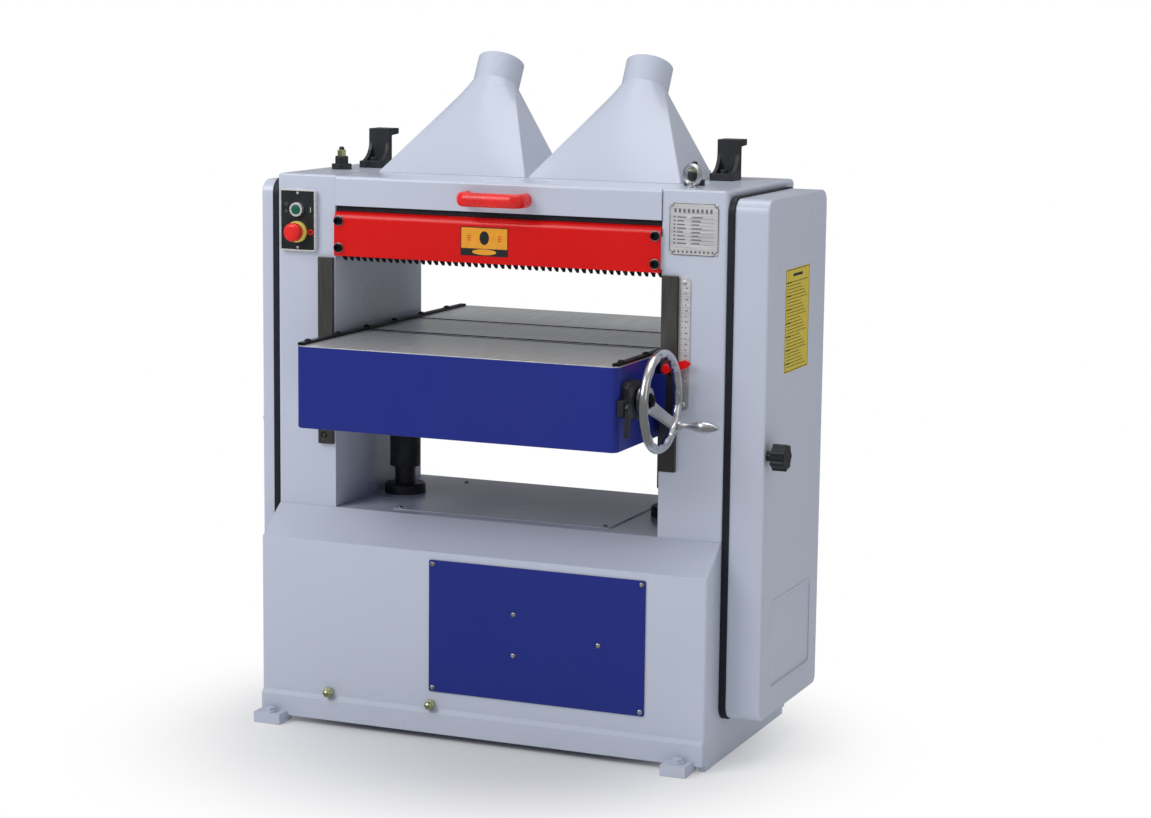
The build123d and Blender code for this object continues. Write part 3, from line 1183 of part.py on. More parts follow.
def nut_housing(x):
    """The flanged nut on the base that a lifting screw runs through, with its dust tube."""
    flange_top, tube_low, tube_top = BASE_TOP + 19, BASE_TOP + 53, 575
    with BuildPart() as housing:
        rod_z(x, SCREW_Y, (BASE_TOP, flange_top), 40)
        chamfer(housing.edges().group_by(Axis.Z)[-1], 3)
        rod_z(x, SCREW_Y, (flange_top, tube_low), 20)
        rod_z(x, SCREW_Y, (tube_low, tube_top), NUT_TUBE_R)
        rod_z(x, SCREW_Y, (tube_low + 12, tube_top + 1), NUT_TUBE_R - 8, mode=Mode.SUBTRACT)
        rod_z(x, SCREW_Y, (BASE_TOP - 1, tube_top + 1), SCREW_R + RUN_FIT, mode=Mode.SUBTRACT)
    return housing.part


with BuildPart() as nut_housings:
    add(nut_housing(-SCREW_X))
    add(nut_housing(SCREW_X))
nut_housings.part.label = "nut_housings"
export_step(nut_housings.part, "parts/nut_housings.step")
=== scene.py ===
"""Looks of the wide thickness planer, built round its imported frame. Metres, in the frame's own axes."""

import json
from math import cos, pi, radians, sin

import bmesh
import bpy
from mathutils import Matrix, Vector


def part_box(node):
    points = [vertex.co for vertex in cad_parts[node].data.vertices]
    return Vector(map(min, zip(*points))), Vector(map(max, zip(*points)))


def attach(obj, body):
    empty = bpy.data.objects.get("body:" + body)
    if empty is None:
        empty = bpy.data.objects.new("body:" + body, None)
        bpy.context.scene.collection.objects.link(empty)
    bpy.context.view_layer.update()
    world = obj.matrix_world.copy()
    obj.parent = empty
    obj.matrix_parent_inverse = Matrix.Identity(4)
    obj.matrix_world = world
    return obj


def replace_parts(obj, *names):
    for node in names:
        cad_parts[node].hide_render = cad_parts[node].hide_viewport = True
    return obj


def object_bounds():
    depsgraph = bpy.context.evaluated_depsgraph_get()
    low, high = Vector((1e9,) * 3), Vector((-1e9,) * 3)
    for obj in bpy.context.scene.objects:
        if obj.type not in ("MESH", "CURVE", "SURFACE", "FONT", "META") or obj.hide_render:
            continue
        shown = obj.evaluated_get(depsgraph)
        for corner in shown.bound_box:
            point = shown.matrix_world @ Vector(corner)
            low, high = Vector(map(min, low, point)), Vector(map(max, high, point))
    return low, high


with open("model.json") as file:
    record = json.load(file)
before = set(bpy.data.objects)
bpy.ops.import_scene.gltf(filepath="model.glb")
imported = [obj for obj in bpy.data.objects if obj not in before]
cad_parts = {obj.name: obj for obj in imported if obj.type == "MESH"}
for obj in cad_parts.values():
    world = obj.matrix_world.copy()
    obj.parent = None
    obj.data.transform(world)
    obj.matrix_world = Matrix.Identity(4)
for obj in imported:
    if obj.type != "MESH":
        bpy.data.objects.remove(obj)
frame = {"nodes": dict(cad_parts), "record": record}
nodes = frame["nodes"]
low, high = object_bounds()

MM = 0.001
X_AXIS, Y_AXIS, Z_AXIS = Vector((1, 0, 0)), Vector((0, 1, 0)), Vector((0, 0, 1))
JOINTS = {joint["name"]: joint for joint in frame["record"]["behaviour"]["joints"]}


# ---------------------------------------------------------------- shader helpers
class Shader:
    """A material being built: add() makes a node, sets or links its inputs, and returns it."""

    def __init__(self, name):
        self.material = bpy.data.materials.new(name)
        self.material.use_nodes = True
        self.tree = self.material.node_tree
        self.tree.nodes.clear()
        self.end = self.tree.nodes.new("ShaderNodeOutputMaterial")
        self.coords = self.add("ShaderNodeTexCoord").outputs["Object"]

    def add(self, kind, values=(), **inputs):
        made = self.tree.nodes.new(kind)
        for index, value in enumerate(values):
            self.feed(made.inputs[index], value)
        for key, value in inputs.items():
            socket = made.inputs.get(key.replace("_", " "))
            if socket is None:
                setattr(made, key, value)
            else:
                self.feed(socket, value)
        return made

    def feed(self, socket, value):
        if isinstance(value, bpy.types.NodeSocket):
            self.tree.links.new(value, socket)
        elif value is not None:
            socket.default_value = value

    def math(self, operation, *values, clamp=False):
        made = self.add("ShaderNodeMath", values)
        made.operation = operation
        made.use_clamp = clamp
        return made.outputs[0]

    def noise(self, scale, detail=4.0, stretch=(1, 1, 1)):
        mapped = self.add("ShaderNodeMapping", Vector=self.coords, Scale=stretch)
        made = self.add("ShaderNodeTexNoise", Vector=mapped.outputs[0], Scale=scale, Detail=detail)
        return made.outputs["Fac"]

    def ramp(self, value, start, stop, low_out=0.0, high_out=1.0):
        """A smooth rise from low_out to high_out while value goes from start to stop."""
        made = self.add("ShaderNodeMapRange")
        made.interpolation_type = "SMOOTHERSTEP"
        for index, number in enumerate((value, start, stop, low_out, high_out)):
            self.feed(made.inputs[index], number)
        return made.outputs[0]

    def mix(self, share, a, b):
        made = self.add("ShaderNodeMix")
        made.data_type = "RGBA"
        for index, value in ((0, share), (6, a), (7, b)):
            self.feed(made.inputs[index], value)
        return made.outputs[2]

    def edges(self, radius):
        """0 on flat ground, rising to 1 along convex and concave edges."""
        bevel = self.add("ShaderNodeBevel", Radius=radius)
        bevel.samples = 4
        geometry = self.add("ShaderNodeNewGeometry")
        same = self.add("ShaderNodeVectorMath", (bevel.outputs[0], geometry.outputs["Normal"]))
        same.operation = "DOT_PRODUCT"
        sharp = self.ramp(same.outputs["Value"], 0.8, 0.995, 1.0, 0.0)
        return sharp, bevel.outputs[0]

    def bump(self, height, strength, distance, normal=None):
        return self.add("ShaderNodeBump", Strength=strength, Distance=distance, Height=height,
                        Normal=normal).outputs[0]

    def principled(self, **inputs):
        return self.add("ShaderNodeBsdfPrincipled", **inputs).outputs[0]

    def done(self, surface):
        self.tree.links.new(surface, self.end.inputs["Surface"])
        return self.material


def rgb(red, green, blue):
    """A linear colour from 0-255 display values."""
    return tuple((v / 255) ** 2.2 for v in (red, green, blue)) + (1.0,)


def tone(colour, factor):
    return tuple(min(v * factor, 1.0) for v in colour[:3]) + (1.0,)


def enamel_surface(s, colour, roughness=0.3, wear=0.25, peel=0.015, shine=1.0):
    """Sprayed gloss paint: soft cloudiness, orange peel, and edges painted lighter, partly as thinned paint
    and partly as a painted highlight.
    """
    edge, rounded = s.edges(0.002)
    base = s.mix(s.ramp(s.noise(1.6, 2), 0.2, 0.8), tone(colour, 0.96), tone(colour, 1.03))
    base = s.mix(s.ramp(s.noise(9, 2), 0.1, 0.9, 0, 0.4), base, tone(colour, 0.96))
    # Patchy lighter edges: thinned paint, and a painted highlight as well.
    worn_and_highlit = s.math("MULTIPLY", edge, s.ramp(s.noise(35, 5), 0.3, 0.7, 0, wear))
    base = s.mix(worn_and_highlit, base, tone(colour, 1.4))
    rough = s.math("ADD", s.ramp(s.noise(5, 4), 0.15, 0.85, roughness - 0.04, roughness + 0.06),
                   s.math("MULTIPLY", worn_and_highlit, 0.3))
    skin = s.bump(s.noise(300, 0), peel, 0.0003, rounded)
    return s.principled(Base_Color=base, Roughness=rough, Normal=skin, Coat_Weight=0.3 * shine,
                        Coat_Roughness=0.1, IOR=1.5, Specular_IOR_Level=0.5 * shine)


def enamel(name, colour, **options):
    s = Shader(name)
    return s.done(enamel_surface(s, colour, **options))


def cast_surface(s, colour, roughness=0.5, grain=0.35):
    """Painted or stoved iron casting: sandy skin, blotchy darker and lighter tone, lighter rubbed edges."""
    edge, rounded = s.edges(0.0018)
    base = s.mix(s.ramp(s.noise(30, 6), 0.35, 0.7), tone(colour, 0.75), tone(colour, 1.35))
    base = s.mix(s.math("MULTIPLY", edge, s.ramp(s.noise(90, 4), 0.4, 0.6, 0.1, 0.55)), base,
                 tone(colour, 4.0))
    rough = s.ramp(s.noise(45, 5), 0.3, 0.7, roughness - 0.1, roughness + 0.12)
    skin = s.bump(s.noise(260, 5), grain, 0.0008, rounded)
    return s.principled(Base_Color=base, Roughness=rough, Normal=skin, IOR=1.5)


def casting(name, colour, **options):
    s = Shader(name)
    return s.done(cast_surface(s, colour, **options))


def steel_surface(s, colour, roughness=0.3, lay=(1, 1, 60), lines=0.12, stain=0.3):
    """Bare metal with machining lines along one axis, soft stains, and a painted highlight along its edges.
    """
    edge, rounded = s.edges(0.0012)
    streak = s.noise(14, 8, lay)
    base = s.mix(s.ramp(streak, 0.3, 0.7), tone(colour, 0.86), tone(colour, 1.1))
    base = s.mix(s.ramp(s.noise(7, 6), 0.5, 0.75, 0, stain), base, tone(colour, 0.62))
    # Edges painted brighter: a painted highlight.
    base = s.mix(s.math("MULTIPLY", edge, 0.6), base, tone(colour, 1.5))
    rough = s.ramp(streak, 0.3, 0.7, roughness - 0.06, roughness + 0.1)
    skin = s.bump(streak, lines, 0.0003, rounded)
    return s.principled(Base_Color=base, Roughness=rough, Normal=skin, Metallic=1.0)


def steel(name, colour, **options):
    s = Shader(name)
    return s.done(steel_surface(s, colour, **options))


def moulded(name, colour, roughness=0.35, grain=0.08, coat=0.0):
    """Moulded plastic or rubber: slight flow marks, fine grain, and a soft highlight painted lighter along
    its edges.
    """
    s = Shader(name)
    edge, rounded = s.edges(0.0012)
    base = s.mix(s.ramp(s.noise(25, 4), 0.35, 0.65), tone(colour, 0.9), tone(colour, 1.08))
    # Edges painted lighter: a painted highlight.
    base = s.mix(s.math("MULTIPLY", edge, 0.25), base, tone(colour, 1.7))
    rough = s.ramp(s.noise(70, 5), 0.3, 0.7, roughness - 0.06, roughness + 0.08)
    skin = s.bump(s.noise(600, 3), grain, 0.0004, rounded)
    return s.done(s.principled(Base_Color=base, Roughness=rough, Normal=skin, Coat_Weight=coat, IOR=1.48))


# ---------------------------------------------------------------- materials
LAVENDER = rgb(192, 199, 217)
BLUE = rgb(38, 49, 132)
RED = rgb(216, 22, 22)


def table_material():
    """Blue enamel outside; ground iron on the working surface, with cross-hatched grinding."""
    s = Shader("table_casting")
    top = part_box("table")[1].z
    place = s.add("ShaderNodeSeparateXYZ", (s.coords,)).outputs
    facing = s.add("ShaderNodeSeparateXYZ", (s.add("ShaderNodeNewGeometry").outputs["Normal"],)).outputs["Z"]
    # Ground iron on the top and on the top 1.6 mm of the sides: bare iron on the top, and along the sides a
    # bare iron line that is also a painted highlight standing in for a chamfer the edge lacks.
    ground_and_edge_highlight = s.math("MULTIPLY", s.math("GREATER_THAN", place["Z"], top - 0.0016),
                    s.math("GREATER_THAN", facing, -0.2))
    edge, rounded = s.edges(0.0012)
    along = s.noise(10, 9, (90, 1, 1))
    across = s.noise(11, 8, (1.5, 70, 1))
    hatch = s.math("ADD", s.math("MULTIPLY", along, 0.72), s.math("MULTIPLY", across, 0.28))
    iron = s.mix(s.ramp(hatch, 0.25, 0.75), rgb(202, 205, 208), rgb(230, 233, 236))
    iron = s.mix(s.ramp(s.noise(4, 4), 0.35, 0.85, 0, 0.4), iron, rgb(186, 189, 192))
    ground = s.principled(Base_Color=iron, Metallic=0.75,
                          Roughness=s.ramp(hatch, 0.3, 0.7, 0.26, 0.4),
                          Normal=s.bump(hatch, 0.025, 0.0003, rounded))
    paint = enamel_surface(s, BLUE, roughness=0.33, wear=0.18, shine=0.4)
    blend = s.add("ShaderNodeMixShader", (ground_and_edge_highlight, paint, ground))
    return s.done(blend.outputs[0])


MATERIALS = {
    "body_paint": enamel("body_enamel", LAVENDER),
    "blue_paint": enamel("blue_enamel", BLUE, roughness=0.36, wear=0.12, shine=0.4),
    "red_paint": enamel("red_enamel", RED, roughness=0.25, wear=0.15, shine=0.45),
    "red_plastic": moulded("red_plastic", rgb(228, 32, 30), 0.32, 0.01, 0.2),
    "black_cast": casting("black_casting", rgb(34, 36, 41), roughness=0.45),
    "rubber": moulded("seal_rubber", rgb(24, 28, 40), 0.6, 0.2),
    "table_iron": table_material(),
    "ground_steel": steel("guide_steel", rgb(108, 105, 103), roughness=0.42, lay=(70, 1, 1)),
    "steel": steel("machined_steel", rgb(172, 172, 174), roughness=0.28, lay=(60, 1, 1),
                   lines=0.03, stain=0.15),
    "dark_steel": steel("blackened_steel", rgb(44, 44, 48), roughness=0.4, lay=(1, 1, 1)),
    "chrome": steel("polished_wheel", rgb(222, 222, 225), roughness=0.2, lay=(1, 1, 1), lines=0.02,
                    stain=0.1),
    "aluminium": steel("satin_aluminium", rgb(243, 243, 247), roughness=0.55, lay=(1, 1, 40), lines=0.05),
    "zinc_yellow": steel("yellow_zinc", rgb(196, 200, 150), roughness=0.22, lay=(1, 1, 1), lines=0.03),
    "zinc": steel("bright_zinc", rgb(186, 188, 190), roughness=0.25, lay=(1, 1, 1), lines=0.03),
    "black_plastic": moulded("black_plastic", rgb(30, 35, 38), 0.4, 0.1),
    "green_plastic": moulded("green_plastic", rgb(22, 96, 74), 0.22, 0.03, 0.5),
    "yellow_plastic": moulded("yellow_plastic", rgb(214, 194, 92), 0.34, 0.05),
    "belt_rubber": moulded("belt_rubber", rgb(30, 30, 31), 0.7, 0.4),
    "motor_paint": casting("motor_paint", rgb(70, 84, 104), roughness=0.4, grain=0.2),
}
SLOT_OF = {part["node"]: part["material_slot"] for part in frame["record"]["subparts"]}
for name, obj in nodes.items():
    obj.data.materials.clear()
    obj.data.materials.append(MATERIALS[SLOT_OF[name]])
    obj.data.shade_smooth()
    obj.data.set_sharp_from_angle(angle=radians(30))


# ---------------------------------------------------------------- mesh helpers
def piece(name, bm, body, slot, material=None):
    """A new object from a finished bmesh, riding on a body and painted from a slot."""
    mesh = bpy.data.meshes.new(name)
    bmesh.ops.recalc_face_normals(bm, faces=bm.faces)
    bm.to_mesh(mesh)
    bm.free()
    obj = bpy.data.objects.new(name, mesh)
    bpy.context.scene.collection.objects.link(obj)
    mesh.materials.append(material or MATERIALS[slot])
    mesh.shade_smooth()
    mesh.set_sharp_from_angle(angle=radians(35))
    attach(obj, body)
    return obj


def ring(bm, centre, across, up, radius, count):
    """A closed ring of vertices in the plane of two unit vectors."""
    verts = []
    for i in range(count):
        a = 2 * pi * i / count
        verts.append(bm.verts.new(centre + across * (radius * cos(a)) + up * (radius * sin(a))))
    return verts


def skin(bm, loops, closed=False):
    """Faces between successive loops of equal length; an open run is capped at both ends."""
    pairs = list(zip(loops, loops[1:]))
    if closed:
        pairs.append((loops[-1], loops[0]))
    for a, b in pairs:
        for i in range(len(a)):
            j = (i + 1) % len(a)
            bm.faces.new((a[i], a[j], b[j], b[i]))
    if not closed:
        bm.faces.new(loops[0])
        bm.faces.new(list(reversed(loops[-1])))


def lathe(bm, origin, axis, profile, count=48):
    """Turns (along, radius) pairs round an axis."""
    across = axis.orthogonal().normalized()
    up = axis.cross(across)
    loops = [ring(bm, origin + axis * d, across, up, max(r, 1e-5), count) for d, r in profile]
    skin(bm, loops)


# ---------------------------------------------------------------- handwheel
SATIN = steel("satin_spokes", rgb(214, 214, 218), roughness=0.42, lay=(1, 1, 1), lines=0.1, stain=0.25)


def scalloped_rim(bm, centre, radius, section, waves=16):
    """A round rim with shallow finger hollows all along its inner side."""
    loops = []
    steps, around = 12 * waves, 28
    for i in range(steps):
        a = 2 * pi * i / steps
        out = Y_AXIS * cos(a) + Z_AXIS * sin(a)
        dip = 0.24 * (0.5 - 0.5 * cos(waves * a))
        verts = []
        for j in range(around):
            t = 2 * pi * j / around
            r = section * (1 - dip * max(0.0, 0.15 - cos(t)))
            verts.append(bm.verts.new(centre + out * (radius + r * cos(t)) + X_AXIS * (r * sin(t))))
        loops.append(verts)
    skin(bm, loops, closed=True)


def rounded_bar(bm, start, stop, side, widths, thick):
    """A flat bar with rounded edges from start to stop, its width given at even steps along it."""
    along = (stop - start).normalized()
    face = along.cross(side).normalized()
    loops = []
    for k, width in enumerate(widths):
        middle = start.lerp(stop, k / (len(widths) - 1))
        verts = []
        for corner in range(4):
            sx = (1, -1, -1, 1)[corner]
            sy = (1, 1, -1, -1)[corner]
            for step in range(4):
                a = radians(90 * corner + 30 * step)
                r = thick * 0.3
                verts.append(bm.verts.new(
                    middle + side * (sx * (width / 2 - r) + r * cos(a))
                    + face * (sy * (thick / 2 - r) + r * sin(a))))
        loops.append(verts)
    skin(bm, loops)


def handwheel():
    """Polished wheel with hub, hidden shaft and cone, and the grip's pin; two satin spokes apart."""
    centre = Vector(JOINTS["handwheel_turn"]["pos_m"])
    grip = Vector(JOINTS["grip_spin"]["pos_m"])
    near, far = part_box("handwheel")
    radius = (grip - centre).length
    section = (far.z - near.z) / 2 - radius
    hub_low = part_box("wheel_bearing")[1].x + 0.002
    hub_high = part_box("wheel_nut")[0].x
    axis_point = Vector((0, centre.y, centre.z))
    bm = bmesh.new()
    scalloped_rim(bm, centre, radius, section)
    lathe(bm, axis_point, X_AXIS, [
        (near.x, 0), (near.x, 0.0097), (near.x + 0.012, 0.0217), (near.x + 0.016, 0.016),
        (near.x + 0.016, 0.010), (hub_low, 0.010), (hub_low, 0.0225), (hub_low + 0.0015, 0.024),
        (hub_high - 0.0015, 0.024), (hub_high, 0.0225), (hub_high, 0)], 64)
    lathe(bm, Vector((0, grip.y, grip.z)), X_AXIS, [
        (grip.x, 0), (grip.x, 0.003), (far.x - 0.0005, 0.003), (far.x, 0.0025), (far.x, 0)], 24)
    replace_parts(piece("handwheel_polished", bm, "handwheel", "chrome"), "handwheel")
    out = (grip - centre).normalized()
    side = X_AXIS.cross(out)
    bm = bmesh.new()
    hub_mid = Vector(((hub_low + hub_high) / 2, centre.y, centre.z))
    for sign in (1, -1):
        widths = [0.034, 0.027, 0.0245, 0.023, 0.022, 0.0215, 0.023]
        rounded_bar(bm, hub_mid + out * sign * 0.015, centre + out * sign * (radius - 0.002), side,
                    widths, 0.008)
    piece("handwheel_spokes", bm, "handwheel", "chrome", SATIN)


def rounded_path(y0, y1, z0, z1, corner, steps=8):
    """Points and outward directions round a rectangle with rounded corners, in the side plane."""
    path = []
    corners = ((y1 - corner, z1 - corner), (y0 + corner, z1 - corner),
               (y0 + corner, z0 + corner), (y1 - corner, z0 + corner))
    for quarter, (y, z) in enumerate(corners):
        for step in range(steps + 1):
            a = pi / 2 * (quarter + step / steps)
            out = Y_AXIS * cos(a) + Z_AXIS * sin(a)
            path.append((Vector((0, y, z)) + out * corner, out))
    return path


BEAD_Y = (0.061, 0.293)
BEAD_Z = (0.131, 0.291)
BEAD_CORNER = 0.013


def pressing_bead():
    """A rolled ridge round the shallow pressing low on the belt door."""
    face = X_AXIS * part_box("belt_door")[1].x
    half_width, height, sunk = 3.2 * MM, 1.5 * MM, 0.3 * MM
    bm = bmesh.new()
    loops = []
    for point, out in rounded_path(*BEAD_Y, *BEAD_Z, BEAD_CORNER):
        section = [(cos(pi * i / 8) * half_width, sin(pi * i / 8) * height) for i in range(9)]
        section += [(-half_width, -sunk), (half_width, -sunk)]
        loops.append([bm.verts.new(face + point + out * a + X_AXIS * b) for a, b in section])
    skin(bm, loops, closed=True)
    piece("door_pressing_bead", bm, "belt_door", "body_paint")


# ---------------------------------------------------------------- printed and engraved marks
def bar(x0, x1, y0, y1):
    return [(x0, y0), (x1, y0), (x1, y1), (x0, y1)]


def oval(x, y, half_x, half_y, count=32):
    turns = [2 * pi * i / count for i in range(count)]
    return [(x + half_x * cos(a), y + half_y * sin(a)) for a in turns]


def outline(x0, x1, y0, y1, width):
    """Four bars round the inside of a rectangle."""
    return [bar(x0, x1, y0, y0 + width), bar(x0, x1, y1 - width, y1),
            bar(x0, x0 + width, y0 + width, y1 - width), bar(x1 - width, x1, y0 + width, y1 - width)]


def loop_marks(x, y, inner, outer, count=24):
    """A round outline as short straight patches."""
    marks = []
    for i in range(count):
        a, b = 2 * pi * i / count, 2 * pi * (i + 1) / count
        marks.append([(x + r * cos(t), y + r * sin(t))
                      for r, t in ((inner, a), (outer, a), (outer, b), (inner, b))])
    return marks


def marks_on(name, body, slot, plane, marks, thick, material=None):
    """Thin raised patches; plane is (origin, right, up), marks are outlines in millimetres on it."""
    origin, right, up = plane
    out = right.cross(up)
    bm = bmesh.new()
    for points in marks:
        foot = [bm.verts.new(origin + right * (x * MM) + up * (y * MM)) for x, y in points]
        top = [bm.verts.new(v.co + out * (thick * MM)) for v in foot]
        skin(bm, [foot, top])
    return piece(name, bm, body, slot, material)


def front_of(node, x, z):
    """The plane of a node's front face, its origin x and z millimetres from the face's lower left."""
    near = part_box(node)[0]
    return Vector((near.x + x * MM, near.y, near.z + z * MM)), X_AXIS, Z_AXIS


def film(name, colour, roughness=0.4):
    """Printed film or ink: a little mottled, thin soft gloss."""
    s = Shader(name)
    base = s.mix(s.ramp(s.noise(90, 4), 0.2, 0.8), tone(colour, 0.93), tone(colour, 1.05))
    rough = s.ramp(s.noise(40, 4), 0.2, 0.8, roughness - 0.05, roughness + 0.08)
    return s.done(s.principled(Base_Color=base, Roughness=rough, IOR=1.45))


INK = film("dark_ink", rgb(34, 36, 40), 0.45)
GREY_INK = film("grey_ink", rgb(104, 105, 112), 0.5)
AMBER = film("amber_film", rgb(232, 158, 44), 0.35)
CANARY = film("canary_film", rgb(206, 186, 62), 0.42)
PALE = film("pale_film", rgb(226, 214, 190), 0.4)


def guard_label():
    """Amber plate with a dark band: a plain symbol in the middle, no lettering."""
    width, height = 95.0, 53.0
    plane = front_of("guard", 259.5, 13.5)
    marks_on("guard_label_edge", "frame", "black_plastic", plane, [bar(0, width, 0, height)], 0.2, INK)
    plane = (plane[0] - Y_AXIS * 0.2 * MM, *plane[1:])
    band = 13.5
    marks_on("guard_label_field", "frame", "yellow_plastic", plane,
             [bar(1.8, width - 1.8, band, height - 1.8)], 0.15, AMBER)
    marks_on("guard_label_band", "frame", "black_plastic", plane,
             [bar(1.2, width - 1.2, 1.2, band)], 0.15, INK)
    plane = (plane[0] - Y_AXIS * 0.15 * MM, *plane[1:])
    marks_on("guard_label_oval", "frame", "yellow_plastic", plane,
             [oval(width / 2, 7.3, 24, 5.3)], 0.12, AMBER)
    stop_sign = [oval(width / 2, 33, 9.5, 12.5, 40)]
    marks_on("guard_label_symbol", "frame", "black_plastic", plane, stop_sign, 0.12, INK)
    dashes = []
    for middle in (17, width - 17):
        for row in range(3):
            dashes.append(bar(middle - 3.6, middle + 3.6, 27.5 + 4.2 * row, 29.3 + 4.2 * row))
    marks_on("guard_label_dashes", "frame", "red_plastic", plane, dashes, 0.12)


def plate_engraving():
    """Rows of plain engraved strokes inside a ruled border on the rating plate."""
    near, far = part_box("name_plate")
    width, height = (far.x - near.x) / MM, (far.z - near.z) / MM
    plane = front_of("name_plate", 0, 0)
    face_y = near.y + 0.9 * MM
    plane = (Vector((plane[0].x, face_y, plane[0].z)), *plane[1:])
    edge = 0.6
    corner = 8.2
    border = [bar(corner, width - corner, edge, edge + 0.9),
              bar(corner, width - corner, height - edge - 0.9, height - edge),
              bar(edge, edge + 0.9, corner, height - corner),
              bar(width - edge - 0.9, width - edge, corner, height - corner)]
    marks = []
    for i in range(9):
        marks.append(bar(9 + i * 8.4, 13.2 + i * 8.4, height - 17.5, height - 10.5))
    for row in range(8):
        z = height - 26.5 - row * 6.6
        marks.append(bar(8, 11.5, z, z + 2.6))
        marks.append(bar(15, 32 - (row * 5) % 7, z, z + 2.2))
        marks.append(bar(38, width - 9, z - 0.8, z - 0.3))
        marks.append(bar(42, 62 - (row * 3) % 8, z + 0.4, z + 2.4))
    for i in range(10):
        marks.append(bar(8 + i * 8.0, 11.5 + i * 8.0, 4.6, 8.6))
    marks_on("plate_engraving", "frame", "aluminium", plane, marks, 0.12, GREY_INK)
    for x, z, turn in ((0, 0, 0), (width, 0, 90), (width, height, 180), (0, height, 270)):
        for step in range(6):
            a, b = radians(turn + 15 * step), radians(turn + 15 * step + 15)
            border.append([(x + radius * cos(t), z + radius * sin(t))
                           for radius, t in ((8.1, a), (9.0, a), (9.0, b), (8.1, b))])
    marks_on("plate_border", "frame", "aluminium", plane, border, 0.12, INK)


def scale_marks():
    """Millimetre scale down the narrow plate: long, half and short strokes and dots for numbers."""
    near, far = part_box("scale_plate")
    face = Vector((near.x, far.y - 2 * MM, near.z))
    height = (far.z - near.z) / MM
    marks = []
    for i in range(int((height - 56) / 2.5)):
        z = height - 20 - 2.5 * i
        long = 7.5 if i % 4 == 0 else 4.5 if i % 2 == 0 else 3.0
        marks.append(bar(1.5, 1.5 + long, z, z + 0.45))
        if i % 4 == 0:
            marks.append(bar(12.5, 14.2, z - 1.2, z + 1.4))
            if i % 8 == 0:
                marks.append(bar(15.2, 17.0, z - 1.2, z + 1.4))
    marks_on("scale_engraving", "frame", "aluminium", (face, X_AXIS, Z_AXIS), marks, 0.1, GREY_INK)


def door_label():
    """Yellow instruction plate on the belt door, filled with plain ruled strokes."""
    near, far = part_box("belt_door")
    face = Vector((far.x, near.y + 0.099, near.z + 0.621))
    width, height = 137.0, 187.0
    plane = (face, Y_AXIS, Z_AXIS)
    marks_on("door_label_field", "belt_door", "yellow_plastic", plane,
             [bar(0, width, 0, height)], 0.25, CANARY)
    plane = (face + X_AXIS * 0.25 * MM, Y_AXIS, Z_AXIS)
    marks = outline(1.5, width - 1.5, 1.5, height - 1.5, 1.2)
    marks.append(bar(width * 0.3, width * 0.7, height - 15, height - 10))
    for row in range(26):
        z = height - 25 - row * 6.1
        indent = 9 if row % 4 else 5
        reach = width - 12 - (row * 37) % 46
        marks.append(bar(indent, reach, z, z + 1.1))
        if row % 4 == 0:
            marks.append(bar(indent, indent + 26, z - 0.5, z + 1.6))
    marks_on("door_label_print", "belt_door", "black_plastic", plane, marks, 0.1, INK)


def panel_marks():
    """Ring and bar symbols beside the two buttons."""
    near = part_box("control_box")[0]
    start, stop = (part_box(n) for n in ("start_button", "estop_button"))
    start_z = (start[0].z + start[1].z) / 2
    stop_z = (stop[0].z + stop[1].z) / 2
    width = (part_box("control_box")[1].x - near.x) / MM
    plane = (Vector((near.x, near.y, 0)), X_AXIS, Z_AXIS)
    marks_on("stop_ring", "frame", "red_plastic", plane,
             loop_marks(width - 8.2, stop_z / MM, 3.0, 5.4), 0.15)
    marks = [bar(width - 8.6, width - 7.4, start_z / MM - 4.5, start_z / MM + 4.5)]
    marks_on("start_bar", "frame", "aluminium", plane, marks, 0.15, PALE)
    faint = outline(7, 12, start_z / MM + 7, start_z / MM + 12, 0.8)
    faint += loop_marks(9.5, start_z / MM - 4, 1.6, 2.6, 16)
    marks_on("panel_symbols", "frame", "aluminium", plane, faint, 0.15, GREY_INK)


handwheel()
pressing_bead()
guard_label()
plate_engraving()
scale_marks()
door_label()
panel_marks()


# ---------------------------------------------------------------- camera, floor and light
CAMERA_TURN, CAMERA_LIFT, CAMERA_ROLL = radians(22.541), radians(8.819), radians(0.667)
CAMERA_PLACE = (2.015278, -4.463524, 1.377176)
LENS, SENSOR = 84.55, 36.0  # millimetres


def place_camera():
    """A long lens from the operator's right, a little above the table."""
    turn, lift, roll = CAMERA_TURN, CAMERA_LIFT, CAMERA_ROLL
    back = Vector((sin(turn) * cos(lift), -cos(turn) * cos(lift), sin(lift)))
    right = Vector((cos(turn), sin(turn), 0))
    up = back.cross(right)
    axes = (right * cos(roll) + up * sin(roll), up * cos(roll) - right * sin(roll), back)
    camera = bpy.data.objects.new("camera", bpy.data.cameras.new("camera"))
    bpy.context.scene.collection.objects.link(camera)
    turned = Matrix([list(a) for a in axes]).transposed().to_4x4()
    camera.matrix_world = Matrix.Translation(CAMERA_PLACE) @ turned
    camera.data.lens = LENS
    camera.data.sensor_width = SENSOR
    bpy.context.scene.camera = camera


SKY = (0.2, 0.52)  # brightness at the horizon and overhead
FLOOR_HALF = 30.0  # metres
FLOOR_FADE = (0.2, 0.85)  # the floor turns to plain white between these distances from the origin
FLOOR_GAP = 0.0005  # below the feet


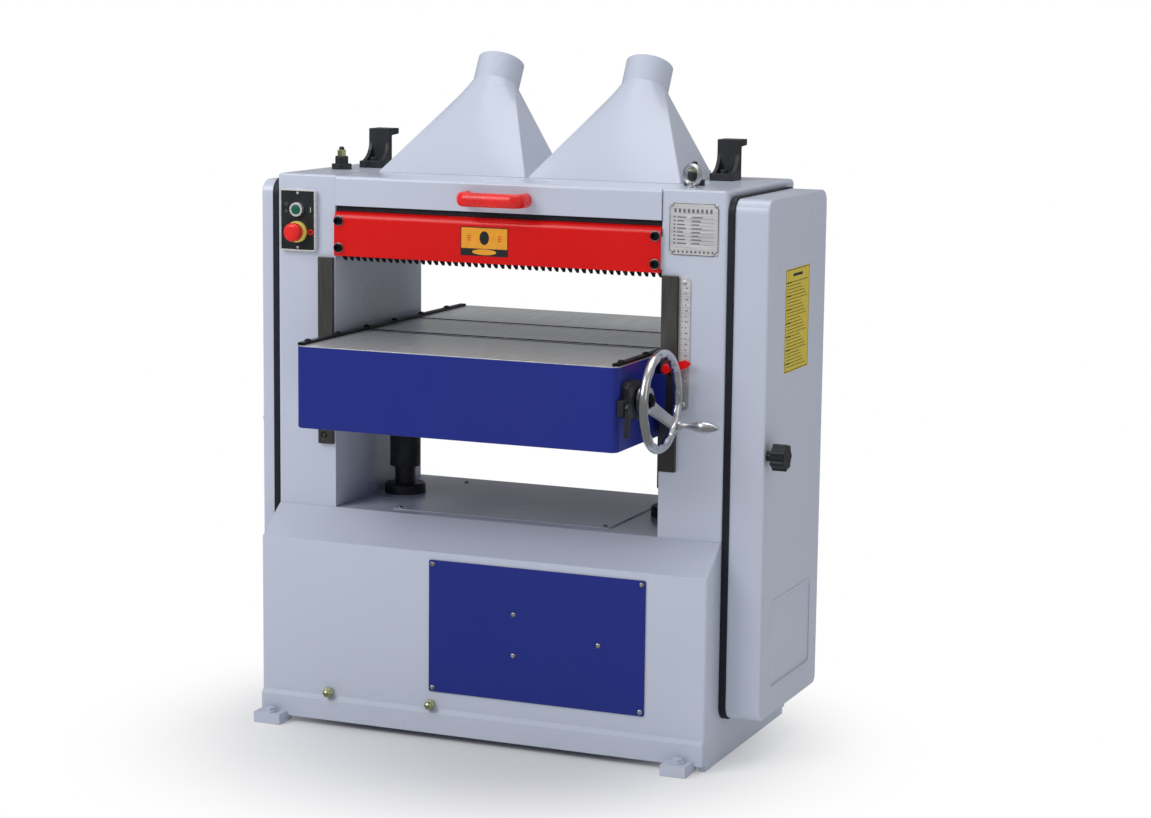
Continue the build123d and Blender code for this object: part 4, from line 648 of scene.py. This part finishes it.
def floor_and_world():
    """A pale floor, and a sky that is darker near the horizon but shows as plain white."""
    mesh = bpy.data.meshes.new("floor")
    bm = bmesh.new()
    bmesh.ops.create_grid(bm, x_segments=1, y_segments=1, size=FLOOR_HALF)
    bm.to_mesh(mesh)
    bm.free()
    floor = bpy.data.objects.new("floor", mesh)
    floor.location.z = low.z - FLOOR_GAP
    bpy.context.scene.collection.objects.link(floor)
    s = Shader("studio_floor")
    lit = s.principled(Base_Color=(0.86, 0.86, 0.87, 1), Roughness=0.6)
    white = s.add("ShaderNodeEmission", Strength=1.0).outputs[0]
    far = s.add("ShaderNodeVectorMath", (s.coords,))
    far.operation = "LENGTH"
    share = s.ramp(far.outputs["Value"], *FLOOR_FADE)
    mesh.materials.append(s.done(s.add("ShaderNodeMixShader", (share, lit, white)).outputs[0]))
    floor.visible_glossy = False
    world = bpy.data.worlds.new("studio")
    bpy.context.scene.world = world
    world.use_nodes = True
    tree = world.node_tree
    tree.nodes.clear()
    coords = tree.nodes.new("ShaderNodeTexCoord").outputs["Generated"]
    split = tree.nodes.new("ShaderNodeSeparateXYZ")
    tree.links.new(coords, split.inputs[0])
    sky = tree.nodes.new("ShaderNodeMapRange")
    tree.links.new(split.outputs["Z"], sky.inputs[0])
    for index, number in ((1, 0.0), (2, 1.0), (3, SKY[0]), (4, SKY[1])):
        sky.inputs[index].default_value = number
    path = tree.nodes.new("ShaderNodeLightPath").outputs["Is Camera Ray"]
    strength = tree.nodes.new("ShaderNodeMath")
    strength.operation = "MAXIMUM"
    tree.links.new(sky.outputs[0], strength.inputs[0])
    tree.links.new(path, strength.inputs[1])
    background = tree.nodes.new("ShaderNodeBackground")
    background.inputs["Color"].default_value = (1, 1, 1, 1)
    tree.links.new(strength.outputs[0], background.inputs["Strength"])
    end = tree.nodes.new("ShaderNodeOutputWorld")
    tree.links.new(background.outputs[0], end.inputs["Surface"])


def soft_light(name, place, aim, width, height, power):
    light = bpy.data.lights.new(name, "AREA")
    light.shape = "RECTANGLE"
    light.size, light.size_y = width, height
    light.energy = power
    obj = bpy.data.objects.new(name, light)
    obj.location = place
    obj.rotation_euler = (Vector(aim) - Vector(place)).to_track_quat("-Z", "Y").to_euler()
    bpy.context.scene.collection.objects.link(obj)


place_camera()
floor_and_world()
soft_light("key", (-2.2, -3.2, 3.4), (0, 0, 0.6), 2.6, 2.6, 100)
soft_light("fill", (3.6, -1.6, 2.2), (0.2, 0.1, 0.7), 2.0, 2.6, 9)
soft_light("top", (0.2, 0.4, 4.2), (0, 0.2, 0.8), 3.2, 2.6, 48)
bpy.context.scene.view_settings.view_transform = "Standard"
